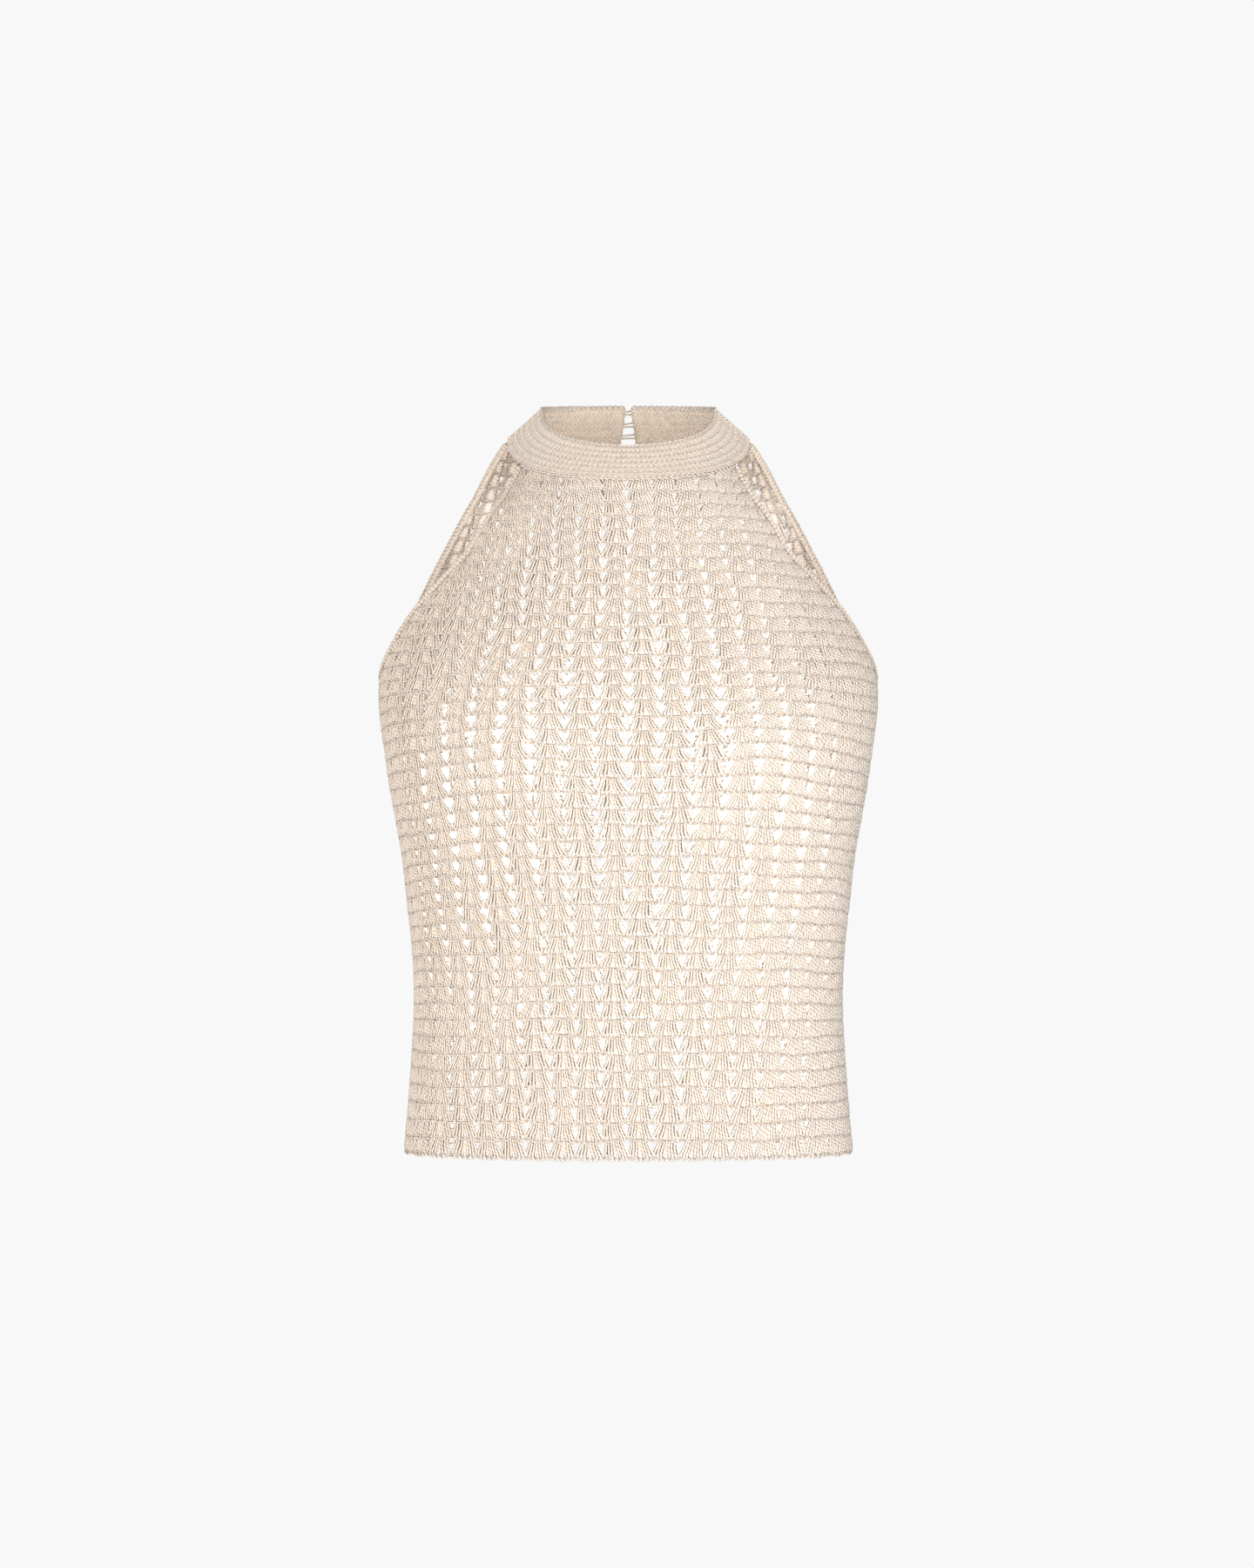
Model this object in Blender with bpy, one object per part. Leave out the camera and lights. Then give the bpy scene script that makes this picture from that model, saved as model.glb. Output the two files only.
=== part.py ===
"""Crocheted halter top, worn form, empty inside.

Metres, +Z up, the front faces -Y and the wearer's left side is +X.
The origin is on the neck's axis at the level where the collar is held.
Tables are in millimetres above the form's lowest ring, a little under the hem,
and are turned into metres when read.
"""

import math
from collections import namedtuple

import bmesh
import bpy
from mathutils import Matrix, Vector

# ---------------------------------------------------------------- sizes
MM = 0.001
NECK_LEVEL = 490.0       # height of the origin above the form's lowest ring
HEM_LEVEL = 8.0          # height of the hem above that ring
UNDERARM = 331.0         # lowest point of both armholes above the lowest ring
WALL = 2.4               # thickness of the shell-stitch cloth
COLLAR_WALL = 2.8        # thickness of the dense collar band
SEAM_GAP = 0.3           # space left between two sewn pieces
SEAM_LIFT = 0.27         # each side's share of the collar seam's gap, upright on a leaning seam
EDGING_WIDTH = 3.6       # single-crochet edging of armholes and keyhole
EDGING_GAP = 0.4         # a little more on the curved edges, whose walls twist

FRONT = -1.0             # direction of each half of the body along Y
BACK = 1.0

# Rings of the worn form. Depth runs from the side seam's plane to the centre
# front or centre back; a squareness of 2 is an ellipse.
Ring = namedtuple("Ring", "height half_width depth squareness")
FRONT_RINGS = [
    Ring(0.0, 155.0, 92.0, 2.30),
    Ring(55.0, 150.3, 89.0, 2.30),
    Ring(114.0, 147.4, 89.0, 2.30),
    Ring(148.0, 149.0, 93.0, 2.30),
    Ring(178.0, 152.3, 98.0, 2.30),
    Ring(209.0, 155.8, 104.0, 2.28),
    Ring(256.0, 164.0, 114.0, 2.25),
    Ring(283.0, 168.0, 118.0, 2.22),
    Ring(308.0, 171.2, 118.5, 2.18),
    Ring(331.0, 171.3, 116.5, 2.12),
    Ring(350.0, 167.5, 113.0, 2.06),
    Ring(373.0, 158.5, 107.5, 2.00),
    Ring(397.0, 145.0, 101.5, 2.00),
    Ring(415.0, 132.5, 96.5, 2.00),
    Ring(441.0, 115.5, 90.0, 2.00),
    Ring(457.0, 100.5, 85.5, 2.00),
    Ring(477.0, 85.5, 79.0, 2.00),
    Ring(496.5, 83.3, 73.0, 2.00),
]
BACK_RINGS = [
    Ring(0.0, 155.0, 88.0, 2.30),
    Ring(55.0, 150.3, 83.0, 2.30),
    Ring(114.0, 147.4, 79.0, 2.30),
    Ring(148.0, 149.0, 80.0, 2.30),
    Ring(178.0, 152.3, 83.0, 2.30),
    Ring(209.0, 155.8, 87.0, 2.28),
    Ring(256.0, 164.0, 95.0, 2.25),
    Ring(283.0, 168.0, 99.5, 2.22),
    Ring(308.0, 171.2, 103.0, 2.18),
    Ring(331.0, 171.3, 105.5, 2.12),
    Ring(350.0, 167.0, 106.8, 2.06),
    Ring(373.0, 159.4, 107.0, 2.00),
    Ring(413.0, 144.0, 102.0, 2.00),
    Ring(446.0, 126.2, 92.0, 2.00),
    Ring(462.0, 114.2, 85.0, 2.00),
    Ring(480.0, 98.6, 75.5, 2.00),
    Ring(496.5, 83.3, 65.0, 2.00),
]

# Soft room for the bust, a smooth swell on each side of the centre front.
BUST_SIDE = 78.0
BUST_LEVEL = 290.0
BUST_SWELL = 9.0
BUST_REACH = 42.0
BUST_DROP = 48.0

# Armhole edges: turn is the angle round the ring from centre front or back.
Edge = namedtuple("Edge", "height turn")
FRONT_ARMHOLE = [
    Edge(331.0, 90.0),
    Edge(332.5, 86.5),
    Edge(337.0, 82.5),
    Edge(343.0, 79.2),
    Edge(350.0, 76.0),
    Edge(360.0, 73.0),
    Edge(373.0, 69.5),
    Edge(397.0, 60.8),
    Edge(415.0, 55.5),
    Edge(441.0, 54.0),
    Edge(457.0, 54.5),
    Edge(477.2, 58.0),
]
BACK_ARMHOLE = [
    Edge(331.0, 90.0),
    Edge(332.5, 86.5),
    Edge(337.0, 83.0),
    Edge(343.0, 79.8),
    Edge(350.0, 76.5),
    Edge(364.0, 72.0),
    Edge(382.0, 69.0),
    Edge(413.0, 65.0),
    Edge(446.0, 63.5),
    Edge(462.0, 65.0),
    Edge(480.0, 72.0),
    Edge(496.1, 82.0),
]

# Collar: its seam lies on the worn form, its rim is a smaller ring above.
SEAM_SIDE_LEVEL = 496.5
SEAM_FRONT_DROP = 30.6
SEAM_BACK_DROP = 3.0
RIM_HALF_WIDTH = 60.0
RIM_FRONT_DEPTH = 58.0
RIM_BACK_DEPTH = 56.0
RIM_SIDE_LEVEL = 517.2
RIM_FRONT_DROP = 29.4
RIM_BACK_RISE = 5.5
DIP_POWER = 0.75         # how quickly the front dips from the side
COLLAR_HEIGHT = 31.0     # band measured along the cloth

# Centre back: the collar's ends and the keyhole under them.
END_GAP_TOP = 2.7        # half the gap between the ends, at the rim
END_GAP_LOW = 7.0        # half the gap at the collar's seam
KEYHOLE_DEPTH = 52.0
KEYHOLE_RADIUS = 12.0
CUTTER_REACH = 10.0

# Buttons and their loops. Drop is measured down the band from the rim.
BUTTON_DROPS = [4.2, 13.0, 21.4]
BUTTON_INSET = 5.6       # from the collar's end to the button's centre
BUTTON_RADIUS = 3.6
BUTTON_STEM_RADIUS = 1.0
BUTTON_STEM_HEIGHT = 2.3
BUTTON_HEAD_HEIGHT = 2.4
LOOP_CORD_RADIUS = 0.7
LOOP_SPREAD_AT_END = 1.0
LOOP_SPREAD_AT_BUTTON = 2.0

PANEL_COLUMNS = 24
LOWER_ROWS = 13
UPPER_ROWS = 12
BUST_CROWDING = 1.35     # rows lie closer together towards the bust
EDGE_CROWDING = 1.5      # rows lie closer together at the armhole's round foot
COLLAR_COLUMNS = 44
COLLAR_ROWS = 3


# ---------------------------------------------------------------- form
def read(table, column, height):
    """Value of one column at a height, on a smooth curve through the rows."""
    heights = [row.height for row in table]
    values = [getattr(row, column) for row in table]
    last = len(table) - 1
    height = min(max(height, heights[0]), heights[last])
    place = 0
    while place < last - 1 and height > heights[place + 1]:
        place += 1

    def secant(index):
        rise = values[index + 1] - values[index]
        return rise / (heights[index + 1] - heights[index])

    def slope(index):
        if index == 0:
            return secant(0)
        if index == last:
            return secant(last - 1)
        return (secant(index - 1) + secant(index)) / 2

    span = heights[place + 1] - heights[place]
    t = (height - heights[place]) / span
    return ((2 * t**3 - 3 * t**2 + 1) * values[place]
            + (t**3 - 2 * t**2 + t) * span * slope(place)
            + (3 * t**2 - 2 * t**3) * values[place + 1]
            + (t**3 - t**2) * span * slope(place + 1))


def form_point(side, turn, height):
    """Outer face of the cloth, in millimetres above the form's lowest ring."""
    rings = FRONT_RINGS if side == FRONT else BACK_RINGS
    half_width = read(rings, "half_width", height)
    depth = read(rings, "depth", height)
    power = read(rings, "squareness", height)
    across = math.sin(turn)
    along = math.cos(turn)
    reach = (abs(across)**power + abs(along)**power)**(-1 / power)
    point = Vector((half_width * across * reach, side * depth * along * reach, height))
    if side == FRONT:
        beside = (abs(point.x) - BUST_SIDE) / BUST_REACH
        above = (height - BUST_LEVEL) / BUST_DROP
        fade = max(0.0, along)
        point.y -= BUST_SWELL * math.exp(-beside**2 - above**2) * fade**0.5
    return point


def form_normal(side, turn, height):
    step = 0.002
    lift = 0.5
    low = max(-math.pi / 2, turn - step)
    high = min(math.pi / 2, turn + step)
    across = form_point(side, high, height) - form_point(side, low, height)
    up = form_point(side, turn, height + lift) - form_point(side, turn, height - lift)
    normal = across.cross(up) if side == FRONT else up.cross(across)
    return normal.normalized()


def seam_level(side, turn):
    """Height of the collar's seam, which dips at the front."""
    along = max(0.0, math.cos(turn))
    if side == FRONT:
        return SEAM_SIDE_LEVEL - SEAM_FRONT_DROP * along**DIP_POWER
    return SEAM_SIDE_LEVEL - SEAM_BACK_DROP * along


def rim_point(side, turn):
    along = max(0.0, math.cos(turn))
    if side == FRONT:
        level = RIM_SIDE_LEVEL - RIM_FRONT_DROP * along**DIP_POWER
        depth = RIM_FRONT_DEPTH
    else:
        level = RIM_SIDE_LEVEL + RIM_BACK_RISE * along
        depth = RIM_BACK_DEPTH
    return Vector((RIM_HALF_WIDTH * math.sin(turn), side * depth * math.cos(turn), level))


def split_turn(whole_turn):
    """A turn round the whole neck as the half that it is on and its own turn."""
    if abs(whole_turn) <= math.pi / 2:
        return FRONT, whole_turn
    return BACK, math.copysign(math.pi - abs(whole_turn), whole_turn)


def collar_point(whole_turn, rise):
    """Outer face of the collar; rise is 0 at the seam and 1 at the rim."""
    side, turn = split_turn(whole_turn)
    seam = form_point(side, turn, seam_level(side, turn))
    return seam.lerp(rim_point(side, turn), rise)


def collar_normal(whole_turn, rise):
    step = 0.01
    low = max(-math.pi, whole_turn - step)
    high = min(math.pi, whole_turn + step)
    across = collar_point(high, rise) - collar_point(low, rise)
    up = collar_point(whole_turn, 1.0) - collar_point(whole_turn, 0.0)
    return across.cross(up).normalized()


def seam_normal(whole_turn):
    """Mitre between the collar and the panel under it."""
    side, turn = split_turn(whole_turn)
    below = form_normal(side, turn, seam_level(side, turn) - 2.0)
    return (below + collar_normal(whole_turn, 0.0)).normalized()


# ---------------------------------------------------------------- building
def to_metres(point):
    return Vector((point.x, point.y, point.z - NECK_LEVEL)) * MM


def cloth_material(name, color, roughness):
    material = bpy.data.materials.new(name)
    material.use_nodes = True
    shader = material.node_tree.nodes["Principled BSDF"]
    shader.inputs["Base Color"].default_value = (*color, 1.0)
    shader.inputs["Roughness"].default_value = roughness
    shader.inputs["Metallic"].default_value = 0.0
    material.diffuse_color = (*color, 1.0)
    return material


def add_object(name, mesh, material):
    mesh.materials.append(material)
    piece = bpy.data.objects.new(name, mesh)
    bpy.context.scene.collection.objects.link(piece)
    return piece


def wall_between(name, outer, inner, material):
    """A closed wall from two grids of points, row by row."""
    shell = bmesh.new()
    faces_of = []
    for grid in (outer, inner):
        faces_of.append([[shell.verts.new(to_metres(point)) for point in row] for row in grid])
    out, back = faces_of
    for low in range(len(out) - 1):
        for left in range(len(out[0]) - 1):
            right = left + 1
            high = low + 1
            shell.faces.new((out[low][left], out[low][right], out[high][right], out[high][left]))
            shell.faces.new((back[low][left], back[high][left], back[high][right], back[low][right]))
    rim_out = border(out)
    rim_back = border(back)
    for place in range(len(rim_out)):
        follow = (place + 1) % len(rim_out)
        shell.faces.new((rim_out[follow], rim_out[place], rim_back[place], rim_back[follow]))
    bmesh.ops.recalc_face_normals(shell, faces=shell.faces[:])
    mesh = bpy.data.meshes.new(name)
    shell.to_mesh(mesh)
    shell.free()
    mesh.shade_smooth()
    mesh.set_sharp_from_angle(angle=math.radians(40))
    return add_object(name, mesh, material)


def border(grid):
    """The outer points of a grid in order, once round."""
    bottom = grid[0]
    right = [row[-1] for row in grid[1:]]
    top = grid[-1][-2::-1]
    left = [row[0] for row in grid[-2:0:-1]]
    return bottom + right + top + left


def armhole_turn(side, height):
    table = FRONT_ARMHOLE if side == FRONT else BACK_ARMHOLE
    return math.radians(read(table, "turn", height))


def armhole_top(side):
    """Height and turn of the armhole's edge where it meets the collar."""
    table = FRONT_ARMHOLE if side == FRONT else BACK_ARMHOLE
    turn = math.radians(table[-1].turn)
    return seam_level(side, turn), turn


def panel_places(side):
    """Rows of (turn, height) from the hem to the collar's seam."""
    spread = [2 * column / PANEL_COLUMNS - 1 for column in range(PANEL_COLUMNS + 1)]
    rows = []
    for row in range(LOWER_ROWS + 1):
        rise = 1 - (1 - row / LOWER_ROWS)**BUST_CROWDING
        height = HEM_LEVEL + rise * (UNDERARM - HEM_LEVEL)
        rows.append([(part * math.pi / 2, height) for part in spread])
    top_level, top_turn = armhole_top(side)
    for row in range(1, UPPER_ROWS + 1):
        rise = (row / UPPER_ROWS)**EDGE_CROWDING
        edge_turn = armhole_turn(side, UNDERARM + rise * (top_level - UNDERARM))
        places = []
        for part in spread:
            seam = seam_level(side, part * top_turn)
            places.append((part * edge_turn, UNDERARM + rise * (seam - UNDERARM)))
        rows.append(places)
    return rows


def panel(name, side, material):
    rows = panel_places(side)
    outer = []
    inner = []
    for number, places in enumerate(rows):
        outer_row = []
        inner_row = []
        for turn, height in places:
            point = form_point(side, turn, height)
            normal = form_normal(side, turn, height)
            if number == len(rows) - 1:
                normal = seam_normal(whole(side, turn))
                point.z -= SEAM_LIFT
            if number <= LOWER_ROWS and abs(turn) > math.radians(89.9):
                normal = Vector((math.copysign(1.0, turn), 0.0, 0.0))
                point.y += side * SEAM_GAP / 2
            outer_row.append(point)
            inner_row.append(point - normal * WALL)
        outer.append(outer_row)
        inner.append(inner_row)
    return wall_between(name, outer, inner, material)


def whole(side, turn):
    if side == FRONT:
        return turn
    return math.copysign(math.pi - abs(turn), turn)


def end_turn(rise):
    """Turn of the collar's end, where the gap at the centre back begins."""
    gap = END_GAP_LOW + (END_GAP_TOP - END_GAP_LOW) * rise
    reach = collar_point(math.pi / 2, rise).x
    return math.pi - math.asin(gap / reach)


def collar(material):
    outer = []
    inner = []
    for row in range(COLLAR_ROWS + 1):
        rise = row / COLLAR_ROWS
        last = end_turn(rise)
        outer_row = []
        inner_row = []
        for column in range(COLLAR_COLUMNS + 1):
            turn = last * (2 * column / COLLAR_COLUMNS - 1)
            point = collar_point(turn, rise)
            normal = collar_normal(turn, rise) if row else seam_normal(turn)
            if row == 0:
                point.z += SEAM_LIFT
            outer_row.append(point)
            inner_row.append(point - normal * COLLAR_WALL)
        outer.append(outer_row)
        inner.append(inner_row)
    return wall_between("collar", outer, inner, material)


def edging(name, path, material):
    """A narrow band along a cut edge, from (point, normal, away) places."""
    rings = []
    last = len(path) - 1
    for place, (point, normal, away) in enumerate(path):
        ahead = path[min(place + 1, last)][0] - path[max(place - 1, 0)][0]
        beside = ahead.cross(normal).normalized()
        if beside.dot(away) < 0:
            beside.negate()
        near = point + beside * EDGING_GAP
        far = point + beside * (EDGING_GAP + EDGING_WIDTH)
        rings.append([near, far, far - normal * WALL, near - normal * WALL])
    band = bmesh.new()
    loops = [[band.verts.new(to_metres(corner)) for corner in ring] for ring in rings]
    for place in range(last):
        for corner in range(4):
            follow = (corner + 1) % 4
            band.faces.new((loops[place][corner], loops[place][follow],
                            loops[place + 1][follow], loops[place + 1][corner]))
    band.faces.new(loops[0])
    band.faces.new(loops[-1])
    bmesh.ops.recalc_face_normals(band, faces=band.faces[:])
    mesh = bpy.data.meshes.new(name)
    band.to_mesh(mesh)
    band.free()
    return add_object(name, mesh, material)


def armhole_path(hand):
    """From the collar down the front, under the arm and up the back."""
    path = []
    for side in (FRONT, BACK):
        rows = panel_places(side)[LOWER_ROWS:]
        stretch = []
        for number, places in enumerate(rows):
            turn, height = places[-1]
            if number == len(rows) - 1:
                height -= 1.6
            point = form_point(side, hand * turn, height)
            normal = form_normal(side, hand * turn, height)
            inside = form_point(side, hand * places[-2][0], places[-2][1])
            away = point - inside
            if number == 0:
                normal = Vector((hand, 0.0, 0.0))
                away = Vector((0.0, 0.0, 1.0))
            stretch.append((point, normal, away))
        if side == FRONT:
            path += reversed(stretch)
        else:
            path += stretch[1:]
    return path


def keyhole_outline(grow):
    """Half widths and drops of the keyhole, top to bottom, grown outward."""
    centre = KEYHOLE_DEPTH - KEYHOLE_RADIUS
    radius = KEYHOLE_RADIUS + grow
    places = []
    for step in range(6):
        part = step / 6
        narrow = (KEYHOLE_RADIUS - END_GAP_LOW) * (1 - part)**1.6
        places.append((radius - narrow, centre * part))
    for step in range(7):
        angle = math.radians(90 - 15 * step)
        places.append((radius * math.sin(angle), centre + radius * math.cos(angle)))
    return places


def turn_at_width(half_width, height):
    """Turn on the back's ring at a distance from the centre line."""
    widest = form_point(BACK, math.pi / 2, height).x
    low, high = 0.0, math.pi / 2
    for _ in range(30):
        middle = (low + high) / 2
        if form_point(BACK, middle, height).x < min(half_width, widest):
            low = middle
        else:
            high = middle
    return low


def keyhole_path():
    top = seam_level(BACK, 0.0) - 0.6
    places = keyhole_outline(EDGING_WIDTH + EDGING_GAP)
    down = [(-width, drop) for width, drop in places]
    up = [(width, drop) for width, drop in reversed(places[:-1])]
    path = []
    for across, drop in down + up:
        height = top - drop
        turn = math.copysign(turn_at_width(abs(across), height), across)
        point = form_point(BACK, turn, height)
        normal = form_normal(BACK, turn, height)
        centre = Vector((0.0, point.y, top - KEYHOLE_DEPTH + KEYHOLE_RADIUS))
        if drop < KEYHOLE_DEPTH - KEYHOLE_RADIUS:
            centre.z = point.z
        path.append((point, normal, centre - point))
    return path


def keyhole_cutter():
    """A plug through the wall, its sides square to the cloth all round."""
    path = [(point, normal) for point, normal, _ in keyhole_path()]
    above = Vector((0.0, 0.0, CUTTER_REACH))
    path = [(path[0][0] + above, path[0][1])] + path + [(path[-1][0] + above, path[-1][1])]
    cutter = bmesh.new()
    loops = []
    for reach in (CUTTER_REACH, -CUTTER_REACH):
        loops.append([cutter.verts.new(to_metres(point + normal * reach)) for point, normal in path])
    outer, inner = loops
    cutter.faces.new(outer)
    cutter.faces.new(inner[::-1])
    for place in range(len(path)):
        follow = (place + 1) % len(path)
        cutter.faces.new((outer[follow], outer[place], inner[place], inner[follow]))
    bmesh.ops.recalc_face_normals(cutter, faces=cutter.faces[:])
    mesh = bpy.data.meshes.new("keyhole_cutter")
    cutter.to_mesh(mesh)
    cutter.free()
    guide = bpy.data.objects.new("keyhole_cutter", mesh)
    guide.hide_render = True
    guide.display_type = "WIRE"
    bpy.context.scene.collection.objects.link(guide)
    return guide


def cut_keyhole(piece):
    cut = piece.modifiers.new("keyhole", "BOOLEAN")
    cut.operation = "DIFFERENCE"
    cut.solver = "EXACT"
    cut.object = keyhole_cutter()


def back_band_place(across, drop):
    """Point and normal of the collar's outer face near the centre back."""
    rise = 1.0 - drop / COLLAR_HEIGHT
    reach = collar_point(math.pi / 2, rise).x
    turn = math.copysign(math.pi - math.asin(abs(across) / reach), across)
    return collar_point(turn, rise), collar_normal(turn, rise)


def end_gap(drop):
    return END_GAP_TOP + (END_GAP_LOW - END_GAP_TOP) * drop / COLLAR_HEIGHT


def button(number, drop, material):
    point, normal = back_band_place(end_gap(drop) + BUTTON_INSET, drop)
    top = BUTTON_STEM_HEIGHT + BUTTON_HEAD_HEIGHT
    profile = [
        (0.0, 0.0),
        (BUTTON_STEM_RADIUS, 0.0),
        (BUTTON_STEM_RADIUS, BUTTON_STEM_HEIGHT),
        (BUTTON_RADIUS * 0.86, BUTTON_STEM_HEIGHT),
        (BUTTON_RADIUS, BUTTON_STEM_HEIGHT + BUTTON_HEAD_HEIGHT * 0.45),
        (BUTTON_RADIUS * 0.75, top - BUTTON_HEAD_HEIGHT * 0.1),
        (0.0, top),
    ]
    lathe = bmesh.new()
    line = [lathe.verts.new(Vector((radius, 0.0, rise)) * MM) for radius, rise in profile]
    edges = [lathe.edges.new(pair) for pair in zip(line, line[1:])]
    bmesh.ops.spin(lathe, geom=line + edges, cent=(0, 0, 0), axis=(0, 0, 1),
                   angle=math.tau, steps=14, use_merge=True)
    bmesh.ops.remove_doubles(lathe, verts=lathe.verts[:], dist=0.00002)
    bmesh.ops.recalc_face_normals(lathe, faces=lathe.faces[:])
    mesh = bpy.data.meshes.new("button_%d" % number)
    lathe.to_mesh(mesh)
    lathe.free()
    mesh.shade_smooth()
    mesh.set_sharp_from_angle(angle=math.radians(50))
    piece = add_object("button_%d" % number, mesh, material)
    turned = Vector((0, 0, 1)).rotation_difference(normal).to_matrix().to_4x4()
    place = to_metres(point + normal * SEAM_GAP)
    piece.matrix_world = Matrix.Translation(place) @ turned
    return piece


def button_loop(number, drop, material):
    """A cord loop from the left end, over the gap and round the button's stem."""
    gap = end_gap(drop)
    centre = gap + BUTTON_INSET
    riding = LOOP_CORD_RADIUS + SEAM_GAP
    leg = [
        (-gap + 2 * SEAM_GAP, LOOP_SPREAD_AT_END, -COLLAR_WALL / 2),
        (-gap * 0.35, LOOP_SPREAD_AT_END, -COLLAR_WALL * 0.25),
        (gap * 0.25, LOOP_SPREAD_AT_END * 1.2, riding * 0.55),
        (gap - 0.4, LOOP_SPREAD_AT_END * 1.5, riding * 1.15),
        (centre - BUTTON_INSET * 0.4, LOOP_SPREAD_AT_BUTTON * 0.97, riding * 1.1),
    ]
    bend = []
    for step in range(7):
        angle = math.radians(90 - 30 * step)
        bend.append((centre + LOOP_SPREAD_AT_BUTTON * math.cos(angle),
                     LOOP_SPREAD_AT_BUTTON * math.sin(angle), riding * 1.1))
    back = [(across, -spread, lift) for across, spread, lift in reversed(leg)]
    curve = bpy.data.curves.new("button_loop_%d" % number, "CURVE")
    curve.dimensions = "3D"
    curve.bevel_depth = LOOP_CORD_RADIUS * MM
    curve.bevel_resolution = 2
    curve.use_fill_caps = True
    spline = curve.splines.new("POLY")
    route = leg + bend + back
    spline.points.add(len(route) - 1)
    for knot, (across, spread, lift) in zip(spline.points, route):
        point, normal = back_band_place(across, drop + spread)
        knot.co = (*to_metres(point + normal * lift), 1.0)
    curve.materials.append(material)
    piece = bpy.data.objects.new("button_loop_%d" % number, curve)
    bpy.context.scene.collection.objects.link(piece)
    return piece


def build():
    for piece in list(bpy.data.objects):
        bpy.data.objects.remove(piece, do_unlink=True)
    cream = (0.84, 0.73, 0.60)
    panel("front_panel", FRONT, cloth_material("front_cotton", cream, 0.85))
    back = panel("back_panel", BACK, cloth_material("back_cotton", cream, 0.85))
    cut_keyhole(back)
    collar(cloth_material("collar_cotton", cream, 0.85))
    for name, hand in (("armhole_edging_left", 1.0), ("armhole_edging_right", -1.0)):
        edging(name, armhole_path(hand), cloth_material(name + "_cotton", cream, 0.85))
    edging("keyhole_edging", keyhole_path(), cloth_material("keyhole_cotton", cream, 0.85))
    for number, drop in enumerate(BUTTON_DROPS, start=1):
        pearl = cloth_material("button_%d_resin" % number, (0.86, 0.80, 0.70), 0.35)
        button(number, drop, pearl)
        cord = cloth_material("loop_%d_cotton" % number, cream, 0.85)
        button_loop(number, drop, cord)


build()
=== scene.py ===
# %% [markdown]
# # A crocheted halter top, stitch by stitch
#
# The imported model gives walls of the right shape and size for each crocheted
# piece. Real crochet is not a wall: it is one long yarn drawn into loops, and
# its look is all in the strands, the ridges between rows and the holes. So this
# script models each stitch once, repeats it with an Array modifier, and then
# carries every copy on to the form of the piece that it stands for.

import math
from collections import namedtuple

import bmesh
import bpy
import numpy as np
from mathutils import Matrix, Vector


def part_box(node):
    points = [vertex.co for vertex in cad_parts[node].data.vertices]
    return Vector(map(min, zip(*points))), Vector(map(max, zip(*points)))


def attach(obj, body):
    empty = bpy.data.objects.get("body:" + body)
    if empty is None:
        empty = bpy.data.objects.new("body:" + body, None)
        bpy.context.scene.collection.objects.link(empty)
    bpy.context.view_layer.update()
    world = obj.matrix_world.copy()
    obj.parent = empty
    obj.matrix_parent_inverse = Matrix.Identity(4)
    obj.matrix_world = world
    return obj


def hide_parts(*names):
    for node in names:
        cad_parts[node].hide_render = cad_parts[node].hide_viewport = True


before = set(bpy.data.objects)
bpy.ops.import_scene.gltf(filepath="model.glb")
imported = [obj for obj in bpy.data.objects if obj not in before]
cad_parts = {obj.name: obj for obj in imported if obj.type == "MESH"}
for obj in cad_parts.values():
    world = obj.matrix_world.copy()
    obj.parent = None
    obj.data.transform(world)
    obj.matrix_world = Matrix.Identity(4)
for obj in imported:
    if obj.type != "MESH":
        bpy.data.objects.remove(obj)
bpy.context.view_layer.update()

MM = 0.001
HEM_LEVEL = 8.0              # the hem's height above the form's lowest ring
hem_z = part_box("front_panel")[0].z     # the frame's origin is at the neck
form_z = hem_z - HEM_LEVEL * MM
print("hem at z = %.4f" % hem_z)

# %% [markdown]
# ## Camera
#
# The camera stands straight in front, level with the middle of the top, and far
# back with a long lens, as a shop's studio would: little perspective, no tilt.

# %% Camera
FRAME_HEIGHT = 1.08          # metres of view at the side seams
CAMERA_DISTANCE = 3.5
CAMERA_ASIDE = -0.0009
LONG_SENSOR = 36.0
VIEW_LEVEL = 0.2512          # above the hem


def placed(name, data):
    """A new object in the scene, at the origin."""
    piece = bpy.data.objects.new(name, data)
    bpy.context.scene.collection.objects.link(piece)
    return piece


camera_data = bpy.data.cameras.new("camera")
camera_data.sensor_width = LONG_SENSOR
camera_data.lens = LONG_SENSOR * CAMERA_DISTANCE / FRAME_HEIGHT
camera = placed("camera", camera_data)
camera.location = (CAMERA_ASIDE, -CAMERA_DISTANCE, hem_z + VIEW_LEVEL)
camera.rotation_euler = (math.radians(90), 0, 0)
bpy.context.scene.camera = camera
print("lens %.1f mm" % camera_data.lens)

# %% [markdown]
# ## Form of the worn top
#
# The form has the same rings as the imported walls: half width, depth and
# squareness at heights above the lowest ring. Here they are read with numpy, for
# a whole array of stitch points at once. Arc length round each ring is tabled
# once, so that a column of stitches can be laid out in millimetres of cloth and
# not in degrees.

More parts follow.
